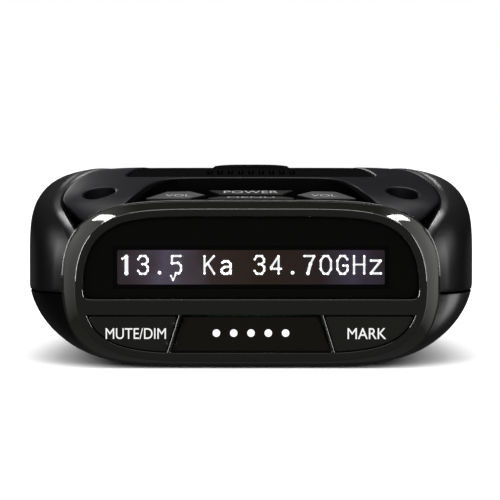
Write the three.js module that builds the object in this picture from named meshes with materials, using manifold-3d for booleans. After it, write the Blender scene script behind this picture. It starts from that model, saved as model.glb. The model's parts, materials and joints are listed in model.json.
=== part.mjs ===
// Windshield radar detector with a driver-facing display, in millimetres.
// X runs to the driver's right, Y from the driver towards the windshield, Z up.
// The origin is the centre of the bounding box in plan, at the height of the flat underside.
import * as THREE from "three";
import { mergeVertices } from "three/addons/utils/BufferGeometryUtils.js";
import Module from "manifold-3d";

const wasm = await Module();
wasm.setup();

// ---------------------------------------------------------------- driving dimensions
const FACE_Y = -57; // front plane of the display bezel
const BODY_FRONT_Y = -51.2; // where the housing meets the bezel
const BODY_BACK_Y = 55; // where the housing meets the nose window
const NOSE_Y = 57; // windshield end
const PARTING_Z = 11; // height of the joint between the two shells
const GAP = 0.3; // clearance between pieces that touch
const WALL = 1.8; // shell thickness
const DECK_DROP = 0.25; // how far the top deck sits below the shell around it
const DECK_THICK = 2.4;
const INLAY_DROP = 0.35; // the gloss inlay, below the shell surface
const INLAY_THICK = 1.0;
const INLAY_POCKET = 1.65; // depth of its pocket in the deck

// Sections of the body: half-width, top, bottom and widest height at each Y, with the exponents n and m of
// |x / w| ^ n + |dz / h| ^ m = 1 above (nt, mt) and below (nb, mb) the widest height.
const BODY = [
  { y: -51.2, w: 28.75, top: 25.1, bottom: 0.25, mid: 12.5, nt: 5.2, mt: 2.6, nb: 7, mb: 2.1 },
  { y: -49.8, w: 30.3, top: 25.6, bottom: 0, mid: 12.3, nt: 5.4, mt: 3.05, nb: 6.5, mb: 1.95 },
  { y: -47, w: 32.35, top: 26.5, bottom: -0.1, mid: 12, nt: 5.9, mt: 4.1, nb: 5.85, mb: 1.72 },
  { y: -43, w: 33.85, top: 27.5, bottom: -0.25, mid: 11.9, nt: 6.35, mt: 5.1, nb: 5.3, mb: 1.6 },
  { y: -38, w: 34.75, top: 28.45, bottom: -0.3, mid: 12, nt: 6.6, mt: 5.6, nb: 5.1, mb: 1.6 },
  { y: -30, w: 35.05, top: 29.5, bottom: -0.3, mid: 12, nt: 6.7, mt: 5.8, nb: 5, mb: 1.6 },
  { y: -20, w: 34.95, top: 30.15, bottom: -0.3, mid: 12, nt: 6.7, mt: 5.8, nb: 5, mb: 1.6 },
  { y: -8, w: 34.35, top: 30.2, bottom: -0.3, mid: 11.8, nt: 6.6, mt: 5.65, nb: 4.9, mb: 1.6 },
  { y: 6, w: 33.25, top: 29.5, bottom: -0.3, mid: 11.4, nt: 6.45, mt: 5.5, nb: 4.8, mb: 1.6 },
  { y: 18, w: 31.75, top: 27.8, bottom: -0.25, mid: 10.9, nt: 6.25, mt: 5.3, nb: 4.7, mb: 1.6 },
  { y: 30, w: 29.75, top: 25, bottom: -0.05, mid: 10.4, nt: 5.9, mt: 5.1, nb: 4.6, mb: 1.65 },
  { y: 42, w: 27.3, top: 21.95, bottom: 0.6, mid: 10.2, nt: 5.4, mt: 4.3, nb: 4.6, mb: 1.95 },
  { y: 51, w: 25.1, top: 19.7, bottom: 1.6, mid: 10.3, nt: 5.05, mt: 3.5, nb: 4.6, mb: 2.4 },
  { y: 54, w: 24, top: 18.8, bottom: 2.4, mid: 10.4, nt: 4.9, mt: 3.1, nb: 4.5, mb: 2.6 },
  { y: 55, w: 22.6, top: 17.8, bottom: 3.3, mid: 10.4, nt: 4.8, mt: 3, nb: 4.4, mb: 2.6 },
];
const BEZEL_FRONT = { w: 26.45, top: 24.0, bottom: 1.0, mid: 12.5, nt: 5.85, mt: 2.12, nb: 5.0, mb: 2.6 };
const BEZEL_REAR = { w: 28.35, top: 24.85, bottom: 0.4, mid: 12.5, nt: 5.2, mt: 2.6, nb: 7.0, mb: 2.1 };
const BEZEL_REAR_Y = -51.5;
const BEZEL_WALL = 1.6;
const BEZEL_PLATE_BACK_Y = -54.4; // back of the face plate

// Right halves of the plan outlines (x, y), from the bezel towards the windshield.
const DECK_HALF = [
  [25, -52], [26.8, -50.2], [28.8, -47], [29.5, -44], [28.9, -39], [27.5, -30], [26, -20],
  [23.6, -8], [20.8, 4], [17.2, 14], [12, 20], [5, 22.6], [0, 23],
];
const BOWL_RIM_HALF = [[19.6, -52], [17.3, -47.3], [15.2, -41.3], [13, -37.9], [10, -36.6], [0, -36.4]];
const BOWL_FLOOR_HALF = [[18.2, -52], [16.9, -48.5], [14.9, -44.6], [13, -42.7], [10, -42.2], [0, -42.1]];
const INLAY_HALF = [
  [0, -34.8], [10, -34.8], [17.6, -34.7], [19.4, -33.4], [18.7, -25], [17.5, -13], [15.8, -1],
  [13.4, 8], [9, 14], [4, 16.3], [0, 16.5],
];
const BOWL_FLOOR_Z = 24.3;
const BOWL_UNDER_Z = 23.1;

// Face plane (x, z): the window above the crossbar, and the buttons and indicators below it.
const WINDOW_RIM = 1.2;
const LOWER_RIM = 1.2;
const CROSSBAR_TOP = 10.4;
const CROSSBAR_BOTTOM = 8.1;
const WINDOW_FRONT_Y = -56.7;
const WINDOW_BACK_Y = -55.6;
const WINDOW_POCKET_Y = -55.3;
const DISPLAY = { halfWidth: 20.2, bottom: 12.5, top: 17.7 }; // lit area
const PANEL_TOP_HALF = 10.45;
const PANEL_BOTTOM_HALF = 12.25;
const PANEL_BOTTOM_Z = 2.3;
const INDICATOR_COUNT = 5;
const INDICATOR_PITCH = 2.6;
const INDICATOR_Z = 5.3;
const INDICATOR_R = 0.55;

// Buttons and their switches.
const FRONT_SWITCH_X = 16.8;
const FRONT_SWITCH_Z = 5.8;
const SWITCH_HALF = 2.2;
const PLUNGER_R = 1.0;
const TOP_SWITCHES = {
  volume_down: [-11.2, -46.4], power: [0, -44.1], menu: [0, -48.4], volume_up: [11.2, -46.4]
};
const CONTROL_BOARD_Z = [17.2, 18.4];
const TOP_SWITCH_Z = [18.7, 20.6];

// Release button, bracket tunnel and speaker slots on the top.
const RELEASE = { halfWidth: 6.7, y0: -4, y1: 6, top: 30.4, under: 26.4 };
const RELEASE_Y = (RELEASE.y0 + RELEASE.y1) / 2;
const STEM_R = 1.8; // of the release button, through the roof of the bracket tunnel
const TUNNEL = { halfWidth: 10.5, y0: -2.5, z0: 18.3, z1: 22.8, wall: 1.2, roof: 0.9, mouthY: 31.5 };
const SPRING = { turns: 3, radius: 2.5, wire: 0.18 };
const SLOT_COUNT = 9;
const SLOT_PITCH = 1.65;
const SLOT = { halfWidth: 0.4, y0: -32, y1: -24.5 };

// The laser receiver's lens, behind the nose window.
const LASER_Z = 14.2;
const LASER_R = 2.5;

// The speaker below the slots: centre, and the height of its frame's underside.
const SPEAKER_Y = -28;
const SPEAKER_Z = 22.4;

// Fasteners.
const WELL = { x: 23.4, y: -45, r: 2.5, floor: 17 };
const CASE_SCREWS = [[29.2, -27], [-29.2, -27], [21, 38], [-21, 38]];

// Connectors on the sides.
const POWER_SOCKET = { y: 0, halfY: 5.9, z0: 7.9, z1: 19.2, opening: { halfY: 5, z0: 12.2, z1: 18.2 } };
const EARPHONE = { y: -4, z: 15 };
const USB = { y: 11, z: 14.6, halfY: 3.9, halfZ: 1.7 };

// ---------------------------------------------------------------- plane curves
const lerp = (a, b, t) => a + (b - a) * t;

// Value of one property of a list of stations at y: a cubic through the stations whose slopes are the
// chords' ones.
function along(stations, key, y) {
  const last = stations.length - 1;
  const at = THREE.MathUtils.clamp(y, stations[0].y, stations[last].y);
  let i = 0;
  while (i < last - 1 && at > stations[i + 1].y) i += 1;
  const slope = (k) => {
    const a = stations[Math.max(k - 1, 0)];
    const b = stations[Math.min(k + 1, last)];
    return (b[key] - a[key]) / (b.y - a.y);
  };
  const span = stations[i + 1].y - stations[i].y;
  const t = (at - stations[i].y) / span;
  const t2 = t * t;
  const t3 = t2 * t;
  return (
    (2 * t3 - 3 * t2 + 1) * stations[i][key] +
    (t3 - 2 * t2 + t) * span * slope(i) +
    (3 * t2 - 2 * t3) * stations[i + 1][key] +
    (t3 - t2) * span * slope(i + 1)
  );
}

// Points along an open polyline, ends included, spaced half by length and half by how much the line turns.
function spread(points, count) {
  const heading = (i) => Math.atan2(points[i][1] - points[i - 1][1], points[i][0] - points[i - 1][0]);
  const lengths = [0];
  const turns = [0];
  for (let i = 1; i < points.length; i += 1) {
    lengths.push(
      lengths[i - 1] + Math.hypot(points[i][0] - points[i - 1][0], points[i][1] - points[i - 1][1])
    );
    turns.push(turns[i - 1] + (i > 1 ? Math.abs(heading(i) - heading(i - 1)) : 0));
  }
  const end = points.length - 1;
  const place = lengths.map((length, i) => length / lengths[end] + turns[i] / turns[end]);
  let i = 1;
  return Array.from({ length: count }, (_, k) => {
    const d = (place[end] * k) / (count - 1);
    while (i < end && place[i] < d) i += 1;
    const t = (d - place[i - 1]) / (place[i] - place[i - 1]);
    return [lerp(points[i - 1][0], points[i][0], t), lerp(points[i - 1][1], points[i][1], t)];
  });
}

// A quarter of |x / w| ^ n + |z / h| ^ m = 1, from the X axis to the Z axis.
function quarter(w, h, n, m, count) {
  const fine = Array.from({ length: 241 }, (_, k) => {
    const a = (Math.PI / 2) * (k / 240);
    return [w * Math.cos(a) ** (2 / n), h * Math.sin(a) ** (2 / m)];
  });
  fine[240][0] = 0;
  return spread(fine, count);
}

// Closed section (x, z), anticlockwise from the widest point on +X.
function sectionLoop(s, perQuarter, inset = 0) {
  const w = s.w - inset;
  const up = quarter(w, s.top - inset - s.mid, s.nt, s.mt, perQuarter + 1);
  const down = quarter(w, s.mid - s.bottom - inset, s.nb, s.mb, perQuarter + 1);
  const place = (p, sx, sz) => [sx * p[0], s.mid + sz * p[1]];
  return [
    ...up.slice(0, -1).map((p) => place(p, 1, 1)),
    ...up.slice(1).reverse().map((p) => place(p, -1, 1)),
    ...down.slice(0, -1).map((p) => place(p, -1, -1)),
    ...down.slice(1).reverse().map((p) => place(p, 1, -1)),
  ];
}

function bodySection(y) {
  const s = { y };
  for (const key of ["w", "top", "bottom", "mid", "nt", "mt", "nb", "mb"]) s[key] = along(BODY, key, y);
  return s;
}

// Moves a closed anticlockwise loop inwards.
function insetLoop(points, distance) {
  const n = points.length;
  return points.map((p, i) => {
    const a = points[(i + n - 1) % n];
    const b = points[(i + 1) % n];
    const length = Math.hypot(b[0] - a[0], b[1] - a[1]);
    return [p[0] - (distance * (b[1] - a[1])) / length, p[1] + (distance * (b[0] - a[0])) / length];
  });
}

// Part of a convex loop where a x + b z <= c.
function clipLoop(points, a, b, c) {
  const kept = [];
  points.forEach((p, i) => {
    const q = points[(i + 1) % points.length];
    const dp = a * p[0] + b * p[1] - c;
    const dq = a * q[0] + b * q[1] - c;
    if (dp <= 0) kept.push(p);
    if (dp * dq < 0) kept.push([lerp(p[0], q[0], dp / (dp - dq)), lerp(p[1], q[1], dp / (dp - dq))]);
  });
  return kept;
}

// Rounds each corner that turns by over 25 degrees with a curve that starts one radius before it.
function roundLoop(points, radius, steps = 4) {
  const n = points.length;
  const at = (i) => points[((i % n) + n) % n];
  const walk = (i, step) => {
    let left = radius;
    let k = i;
    for (;;) {
      const p = at(k);
      const q = at(k + step);
      const d = Math.hypot(q[0] - p[0], q[1] - p[1]);
      if (d > left) return { k, point: [lerp(p[0], q[0], left / d), lerp(p[1], q[1], left / d)] };
      left -= d;
      k += step;
    }
  };
  const turns = points.map((p, i) => {
    const a = at(i - 1);
    const b = at(i + 1);
    const turn = Math.atan2(b[1] - p[1], b[0] - p[0]) - Math.atan2(p[1] - a[1], p[0] - a[0]);
    return Math.abs(Math.atan2(Math.sin(turn), Math.cos(turn))) > Math.PI / 7.2;
  });
  const dropped = new Set();
  const arcs = new Map();
  turns.forEach((sharp, i) => {
    if (!sharp) return;
    const before = walk(i, -1);
    const after = walk(i, 1);
    for (let k = before.k; k <= after.k; k += 1) dropped.add(((k % n) + n) % n);
    arcs.set(
      i,
      Array.from({ length: steps + 1 }, (_, s) => {
        const t = s / steps;
        const mix = (j) => (1 - t) ** 2 * before.point[j] + 2 * t * (
          1 - t
        ) * at(i)[j] + t * t * after.point[j];
        return [mix(0), mix(1)];
      }),
    );
  });
  return points.flatMap((p, i) => arcs.get(i) ?? (dropped.has(i) ? [] : [p]));
}

// Closed loop from a right half: a smooth curve through its points, and its mirror image.
function mirrored(half, count) {
  const curve = new THREE.SplineCurve(half.map(([x, y]) => new THREE.Vector2(x, y)));
  const right = curve.getSpacedPoints(count).map((p) => [Math.max(p.x, 0), p.y]);
  const left = right.filter((p) => p[0] > 1e-6).reverse().map((p) => [-p[0], p[1]]);
  return [...right, ...left];
}

// ---------------------------------------------------------------- solids
function solidOf(geometry) {
  const bare = geometry.index ? geometry.toNonIndexed() : geometry.clone();
  for (const name of Object.keys(bare.attributes)) if (name !== "position") bare.deleteAttribute(name);
  const merged = mergeVertices(bare, 1e-4);
  const triVerts = new Uint32Array(merged.index.array);
  const mesh = () => new wasm.Mesh(
    { numProp: 3, vertProperties: merged.attributes.position.array, triVerts }
  );
  const made = new wasm.Manifold(mesh());
  if (made.volume() > 0) return made;
  for (let i = 0; i < triVerts.length; i += 3) [
    triVerts[i + 1], triVerts[i + 2]
  ] = [triVerts[i + 2], triVerts[i + 1]];
  return new wasm.Manifold(mesh());
}

function geometryOf(solid) {
  const mesh = solid.getMesh();
  const positions = new Float32Array(mesh.numVert * 3);
  for (let i = 0; i < mesh.numVert; i += 1)
    positions.set(mesh.vertProperties.subarray(i * mesh.numProp, i * mesh.numProp + 3), i * 3);
  const geometry = new THREE.BufferGeometry();
  geometry.setAttribute("position", new THREE.BufferAttribute(positions, 3));
  geometry.setIndex(new THREE.BufferAttribute(mesh.triVerts, 1));
  geometry.computeVertexNormals();
  return geometry;
}

// Closed skin over rings of [x, y, z] points, with a fan of triangles over each end.
function loft(rings) {
  const n = rings[0].length;
  const centre = (ring) => ring.reduce(
    (c, p) => [c[0] + p[0] / n, c[1] + p[1] / n, c[2] + p[2] / n], [0, 0, 0]
  );
  const points = [...rings.flat(), centre(rings[0]), centre(rings[rings.length - 1])];
  const first = rings.length * n;
  const faces = [];
  for (let j = 0; j < n; j += 1) {
    const k = (j + 1) % n;
    for (let i = 0; i < rings.length - 1; i += 1) {
      const a = i * n;
      const b = a + n;
      faces.push(a + j, a + k, b + k, a + j, b + k, b + j);
    }
    faces.push(first, k, j);
    faces.push(first + 1, first - n + j, first - n + k);
  }
  const geometry = new THREE.BufferGeometry();
  geometry.setAttribute("position", new THREE.Float32BufferAttribute(points.flat(), 3));
  geometry.setIndex(faces);
  return solidOf(geometry);
}

const shapeOf = (points) => new THREE.Shape(points.map(([x, y]) => new THREE.Vector2(x, y)));

// An outline in plan, from z0 up to z1.
function column(points, z0, z1) {
  const geometry = new THREE.ExtrudeGeometry(
    shapeOf(points), { depth: z1 - z0, bevelEnabled: false, steps: 1 }
  );
  return solidOf(geometry.translate(0, 0, z0));
}

// An outline in the face plane (x, z), from y0 back to y1.
function plate(points, y0, y1) {
  const geometry = new THREE.ExtrudeGeometry(
    shapeOf(points), { depth: y1 - y0, bevelEnabled: false, steps: 1 }
  );
  return solidOf(geometry.rotateX(Math.PI / 2).translate(0, y1, 0));
}

function block(x0, x1, y0, y1, z0, z1) {
  const geometry = new THREE.BoxGeometry(x1 - x0, y1 - y0, z1 - z0);
  return solidOf(geometry.translate((x0 + x1) / 2, (y0 + y1) / 2, (z0 + z1) / 2));
}

// A cylinder or cone along Z, Y or X.
function round(axis, centre, from, to, r, rEnd = r, sides = 20) {
  const geometry = new THREE.CylinderGeometry(rEnd, r, to - from, sides);
  geometry.translate(0, (from + to) / 2, 0);
  if (axis === "z") geometry.rotateX(Math.PI / 2).translate(centre[0], centre[1], 0);
  if (axis === "y") geometry.translate(centre[0], 0, centre[1]);
  if (axis === "x") geometry.rotateZ(-Math.PI / 2).translate(0, centre[0], centre[1]);
  return solidOf(geometry);
}

const join = (...solids) => solids.reduce((a, b) => a.add(b));
const cut = (solid, ...tools) => tools.reduce((a, b) => a.subtract(b), solid);

// The whole body, moved inwards, between two Ys.
function body(inset, y0, y1, perQuarter, ys) {
  const stations = [y0, ...ys.filter((y) => y > y0 && y < y1), y1];
  return loft(
    stations.map((y) => sectionLoop(bodySection(y), perQuarter, inset).map(([x, z]) => [x, y, z]))
  );
}
const FINE_YS = [-49.8, -48.4, -46.5, -43, -38, -32, -25, -17, -8, 2, 11, 20, 30, 39, 47, 51, 54];
const COARSE_YS = [-49.8, -46.5, -40, -30, -16, -2, 12, 26, 40];
const outerBody = (inset) => body(inset, BODY_FRONT_Y, BODY_BACK_Y, 12, FINE_YS);
const innerBody = (inset) => body(inset, BODY_FRONT_Y - 2, BODY_BACK_Y - 1.6, 7, COARSE_YS);

const deckOutline = mirrored(DECK_HALF, 44);
const bowlRim = mirrored(BOWL_RIM_HALF, 16);
const bowlFloor = mirrored(BOWL_FLOOR_HALF, 16);
const inlayOutline = mirrored(INLAY_HALF, 36);
const above = 40;

// ---------------------------------------------------------------- materials
const finish = (color, roughness, metalness = 0, more = {}) =>
  new THREE.MeshStandardMaterial({ color, roughness, metalness, ...more });
const SATIN = finish(0x1b1b1c, 0.42);
const DECK_SATIN = finish(0x221f27, 0.38);
const GLOSS = finish(0x060607, 0.08);
const BEZEL_FINISH = finish(0x17170f, 0.25);
const SMOKED = finish(0x0d0d09, 0.06, 0, { transparent: true, opacity: 0.5 });
const KEYCAP = finish(0x1d1c1f, 0.4);
const FACE_KEY = finish(0x171610, 0.35);
const LIT = finish(0xffffff, 0.3, 0, { emissive: 0xffffff });
const SILICONE = finish(0x3a3a3c, 0.8);
const BOARD = finish(0x0f5a35, 0.5);
const STEEL = finish(0x8d8f93, 0.3, 1);
const ZINC = finish(0xb9bbbf, 0.45, 1);
const BRASS = finish(0xb08d4a, 0.35, 1);
const BLACK_NYLON = finish(0x101012, 0.6);
const CREAM = finish(0xc9bfa2, 0.6);
const PAPER = finish(0x18181a, 0.9);
const IR_LENS = finish(0x1a0507, 0.08);

const group = new THREE.Group();
function add(name, solid, material) {
  const mesh = new THREE.Mesh(geometryOf(solid), material);
  mesh.name = name;
  group.add(mesh);
}

// ---------------------------------------------------------------- housing
function speakerSlots(z0, z1) {
  const first = (-(SLOT_COUNT - 1) / 2) * SLOT_PITCH;
  return Array.from({ length: SLOT_COUNT }, (_, i) => {
    const x = first + i * SLOT_PITCH;
    return block(x - SLOT.halfWidth, x + SLOT.halfWidth, SLOT.y0, SLOT.y1, z0, z1);
  });
}

const releaseHole = (extra, z0, z1) =>
  column(
    roundLoop(
      [
        [RELEASE.halfWidth + extra, RELEASE.y0 - extra],
        [RELEASE.halfWidth + extra, RELEASE.y1 + extra],
        [-RELEASE.halfWidth - extra, RELEASE.y1 + extra],
        [-RELEASE.halfWidth - extra, RELEASE.y0 - extra],
      ],
      1.2,
    ),
    z0,
    z1,
  );

function upperHousing() {
  const shell = cut(outerBody(0), innerBody(WALL), block(-50, 50, -70, 70, -5, PARTING_Z + GAP / 2));
  const bosses = CASE_SCREWS.map(([x, y]) => round("z", [x, y], PARTING_Z + GAP / 2, 26, 2.9));
  const inside = outerBody(0.9);
  const posts = bosses.map((b) => b.intersect(inside));
  const holes = CASE_SCREWS.map(([x, y]) => round("z", [x, y], 10, 17.5, 1.35, 1.35, 12));
  const tunnel = block(-TUNNEL.halfWidth, TUNNEL.halfWidth, TUNNEL.y0, 70, TUNNEL.z0, TUNNEL.z1);
  const mouth = block(-TUNNEL.halfWidth, TUNNEL.halfWidth, TUNNEL.mouthY, 70, TUNNEL.z0, above);
  const socket = POWER_SOCKET.opening;
  const jacks = [
    block(
      30, 40, POWER_SOCKET.y - socket.halfY - 0.4, POWER_SOCKET.y + socket.halfY + 0.4, socket.z0 - 0.4,
      socket.z1 + 0.4
    ),
    round("x", [EARPHONE.y, EARPHONE.z], -40, -28, 3.1, 3.1, 24),
    block(
      -40, -28, USB.y - USB.halfY - 0.4, USB.y + USB.halfY + 0.4, USB.z - USB.halfZ - 0.4,
      USB.z + USB.halfZ + 0.4
    ),
  ];
  const laser = round("y", [0, LASER_Z], 50, 60, LASER_R + 0.4, LASER_R + 0.4, 24);
  return cut(
    join(shell, ...posts), ...holes, column(deckOutline, 16, above), tunnel, mouth, ...jacks, laser
  );
}

function lowerHousing() {
  const keep = block(-50, 50, -70, 70, 0, PARTING_Z - GAP / 2);
  const shell = cut(outerBody(0), innerBody(WALL)).intersect(keep);
  const inside = outerBody(0.3);
  const bosses = CASE_SCREWS.map(
    ([x, y]) => round("z", [x, y], 0.2, PARTING_Z - GAP / 2, 3.3).intersect(inside)
  );
  const wells = [1, -1].map((side) =>
    round("z", [side * WELL.x, WELL.y], 0.5, PARTING_Z - GAP / 2, 2.8).intersect(inside),
  );
  const standoffs = [[20, -34], [-20, -34], [17, 27], [-17, 27]].map(
    ([x, y]) => round("z", [x, y], 0.5, 5.7, 2, 1.6, 12)
  );
  const cuts = CASE_SCREWS.flatMap(([x, y]) => [
    round("z", [x, y], -3, 5.6, 2.4),
    round("z", [x, y], 5, 12, 1.35, 1.35, 12),
  ]);
  const pilots = [1, -1].map((side) => round("z", [side * WELL.x, WELL.y], 4, 12, 1.35, 1.35, 12));
  return cut(join(shell, ...bosses, ...wells, ...standoffs), ...cuts, ...pilots);
}

function topDeck() {
  const outline = insetLoop(deckOutline, 0.35);
  const skin = cut(outerBody(DECK_DROP), outerBody(DECK_DROP + DECK_THICK)).intersect(
    column(outline, 15, above)
  );
  const front = block(-50, 50, -70, BODY_FRONT_Y + 0.1, 0, above);
  const inside = outerBody(DECK_DROP + 0.6);
  const tubes = [1, -1].map((side) =>
    round(
      "z", [side * WELL.x, WELL.y], WELL.floor - 1.6, above, WELL.r + 1.1, WELL.r + 1.1, 28
    ).intersect(inside),
  );
  const bores = [1, -1].flatMap((side) => [
    round("z", [side * WELL.x, WELL.y], WELL.floor, above, WELL.r, WELL.r, 28),
    round("z", [side * WELL.x, WELL.y], WELL.floor - 3, above, 1.35, 1.35, 12),
  ]);
  const pocket = cut(column(insetLoop(inlayOutline, -GAP), 20, above), outerBody(INLAY_POCKET));
  return cut(
    join(skin, ...tubes),
    front,
    ...bores,
    column(insetLoop(bowlRim, -0.5), 10, above),
    pocket,
    ...speakerSlots(20, above),
    releaseHole(GAP, 20, above),
  );
}

function glossInlay() {
  const skin = cut(outerBody(INLAY_DROP), outerBody(INLAY_DROP + INLAY_THICK));
  return cut(
    skin.intersect(column(inlayOutline, 20, above)), ...speakerSlots(20, above), releaseHole(GAP, 20, above)
  );
}

// Dish around the four top buttons, with a flat floor and a wall that leans out to the rim.
function buttonTray() {
  const inside = outerBody(DECK_DROP);
  const body = cut(
    column(bowlRim, BOWL_UNDER_Z, above).intersect(inside),
    block(-50, 50, -70, BODY_FRONT_Y + 0.1, 0, above)
  );
  const lip = insetLoop(bowlRim, 0.7);
  const rise = 4.3;
  const ring = (t) => bowlFloor.map(
    (p, i) => [lerp(p[0], lip[i][0], t), lerp(p[1], lip[i][1], t), BOWL_FLOOR_Z + rise * t]
  );
  const openings = Object.values(topKeys).map((outline) => column(insetLoop(outline, -GAP), 20, above));
  return cut(body, loft([ring(0), ring(0.4), ring(1), ring(1.6)]), ...openings);
}

// The tunnel that takes the windshield bracket's tongue from the nose end.
function bracketSocket() {
  const inside = innerBody(WALL + GAP);
  const { halfWidth: w, y0, z0, z1, wall, roof } = TUNNEL;
  const outer = block(-w - wall, w + wall, y0 - 2, 54, z0 - wall, z1 + roof);
  const bore = block(-w, w, y0, 60, z0, z1);
  const openTop = block(-w, w, 24, 60, z0, above);
  const stemHole = round("z", [0, RELEASE_Y], z1 - 0.2, above, STEM_R + GAP);
  return cut(outer.intersect(inside), bore, openTop, stemHole);
}

// ---------------------------------------------------------------- display bezel
const faceLoop = sectionLoop(BEZEL_FRONT, 22);

function windowLoop(rim) {
  return roundLoop(clipLoop(insetLoop(faceLoop, WINDOW_RIM + rim), 0, -1, -(CROSSBAR_TOP + rim)), 1.3);
}

// The outline of the button at the left (side -1) or right (side 1) of the indicator panel.
function faceKeyLoop(side, rim, outside = LOWER_RIM + rim) {
  const slope = (PANEL_BOTTOM_HALF - PANEL_TOP_HALF) / (CROSSBAR_BOTTOM - PANEL_BOTTOM_Z);
  const edge = PANEL_TOP_HALF + 0.35 + rim + slope * CROSSBAR_BOTTOM;
  const lower = clipLoop(insetLoop(faceLoop, outside), 0, 1, CROSSBAR_BOTTOM - 0.1 - rim);
  return roundLoop(clipLoop(lower, -side, -slope, -edge), 0.8);
}

function panelLoop(rim) {
  return [
    [-PANEL_TOP_HALF + rim, CROSSBAR_BOTTOM - rim],
    [-PANEL_BOTTOM_HALF + rim, PANEL_BOTTOM_Z + rim],
    [PANEL_BOTTOM_HALF - rim, PANEL_BOTTOM_Z + rim],
    [PANEL_TOP_HALF - rim, CROSSBAR_BOTTOM - rim],
  ];
}

function bezelFrame() {
  const ring = (s, y, inset) => sectionLoop(s, 22, inset).map(([x, z]) => [x, y, z]);
  const outer = loft([ring(BEZEL_FRONT, FACE_Y, 0), ring(BEZEL_REAR, BEZEL_REAR_Y, 0)]);
  const hollow = loft(
    [ring(BEZEL_FRONT, BEZEL_PLATE_BACK_Y, BEZEL_WALL), ring(BEZEL_REAR, BEZEL_REAR_Y + 1, BEZEL_WALL)]
  );
  const aperture = block(
    -DISPLAY.halfWidth - 1, DISPLAY.halfWidth + 1, -60, -50, DISPLAY.bottom - 0.8, DISPLAY.top + 0.8
  );
  const pipeSlot = block(-6.6, 6.6, -60, -50, INDICATOR_Z - 1.2, INDICATOR_Z + 1.2);
  return cut(
    outer,
    hollow,
    plate(windowLoop(0), -60, WINDOW_POCKET_Y),
    aperture,
    plate(panelLoop(0), -60, -55.7),
    pipeSlot,
    plate(faceKeyLoop(-1, 0), -60, -50),
    plate(faceKeyLoop(1, 0), -60, -50),
  );
}

const indicatorX = (i) => (i - (INDICATOR_COUNT - 1) / 2) * INDICATOR_PITCH;

function indicatorPanel() {
  const holes = Array.from({ length: INDICATOR_COUNT }, (_, i) =>
    round("y", [indicatorX(i), INDICATOR_Z], -60, -50, INDICATOR_R + GAP, INDICATOR_R + GAP, 16),
  );
  return cut(plate(panelLoop(0.3), -56.75, -56), ...holes);
}

// One clear moulding: a bar behind the panel with a round post for each indicator.
function lightPipe() {
  const posts = Array.from({ length: INDICATOR_COUNT }, (_, i) =>
    round("y", [indicatorX(i), INDICATOR_Z], -56.85, -53.6, INDICATOR_R, INDICATOR_R, 16),
  );
  return join(block(-6.3, 6.3, -54, -53, INDICATOR_Z - 0.9, INDICATOR_Z + 0.9), ...posts);
}

function faceKey(side) {
  const cap = plate(faceKeyLoop(side, 0.25), FACE_Y + 0.15, -54);
  const flange = plate(faceKeyLoop(side, -0.5, BEZEL_WALL + 0.6), -54.1, -53.4);
  return join(cap, flange, round("y", [side * FRONT_SWITCH_X, FRONT_SWITCH_Z], -53.5, -53.2, 1.1));
}

// ---------------------------------------------------------------- top keys
const topKeys = {
  volume_down: roundLoop(
    [[-16.4, -49.6], [-9.4, -49.6], [-6.8, -46.4], [-9.4, -43.2], [-13.2, -43.6]], 0.6, 3
  ),
  power: roundLoop([[5, -46.1], [6.9, -43.2], [-6.9, -43.2], [-5, -46.1]], 0.4, 3),
  menu: roundLoop([[7, -49.7], [5, -46.75], [-5, -46.75], [-7, -49.7]], 0.4, 3),
  volume_up: roundLoop([[13.2, -43.6], [9.4, -43.2], [6.8, -46.4], [9.4, -49.6], [16.4, -49.6]], 0.6, 3),
};
const KEY_TOP = {
  volume_down: [25.35, 0.17], volume_up: [25.35, 0.17], power: [25.3, 0.2], menu: [25.45, 0.08]
};

// A key cap with a sloping top, cut by a wedge that lies above it, and its stem.
function topKey(name) {
  const [front, slope] = KEY_TOP[name];
  const wedge = block(-40, 40, -40, 40, 0, 20);
  const tilted = wedge.rotate([(Math.atan(slope) * 180) / Math.PI, 0, 0]).translate([0, -49.7, front]);
  const [x, y] = TOP_SWITCHES[name];
  return join(cut(column(topKeys[name], 22.4, 30), tilted), round("z", [x, y], 21.8, 22.6, 1.1));
}

// ---------------------------------------------------------------- switches
function topSwitch([x, y]) {
  const base = block(x - SWITCH_HALF, x + SWITCH_HALF, y - 1.65, y + 1.65, ...TOP_SWITCH_Z);
  return cut(base, round("z", [x, y], 19.1, 25, PLUNGER_R + 0.35));
}
const topPlunger = ([x, y]) => round("z", [x, y], 19.9, 21.5, PLUNGER_R);

function frontSwitch(side) {
  const x = side * FRONT_SWITCH_X;
  const base = block(
    x - SWITCH_HALF, x + SWITCH_HALF, -52, -49.9, FRONT_SWITCH_Z - SWITCH_HALF, FRONT_SWITCH_Z + SWITCH_HALF
  );
  return cut(base, round("y", [x, FRONT_SWITCH_Z], -60, -50.3, PLUNGER_R + 0.35));
}
const frontPlunger = (side) => round("y", [side * FRONT_SWITCH_X, FRONT_SWITCH_Z], -52.9, -51.3, PLUNGER_R);

// ---------------------------------------------------------------- release button
function releaseButton() {
  const stem = round("z", [0, RELEASE_Y], TUNNEL.z1 + 0.2, RELEASE.under + 0.1, STEM_R);
  return join(releaseHole(0, RELEASE.under, RELEASE.top), stem);
}

// Coil around the stem, between the tunnel's roof and the button.
function releaseSpring() {
  const { turns, radius, wire } = SPRING;
  const low = TUNNEL.z1 + TUNNEL.roof + GAP + wire;
  const high = RELEASE.under - GAP - wire;
  const sides = 8;
  const steps = 72;
  const ring = (k) => {
    const a = (2 * Math.PI * turns * k) / steps;
    return Array.from({ length: sides }, (_, i) => {
      const b = (2 * Math.PI * i) / sides;
      const r = radius + wire * Math.cos(b);
      return [
        r * Math.cos(a), RELEASE_Y + r * Math.sin(a), lerp(low, high, k / steps) + wire * Math.sin(b)
      ];
    });
  };
  return loft(Array.from({ length: steps + 1 }, (_, k) => ring(k)));
}

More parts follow.
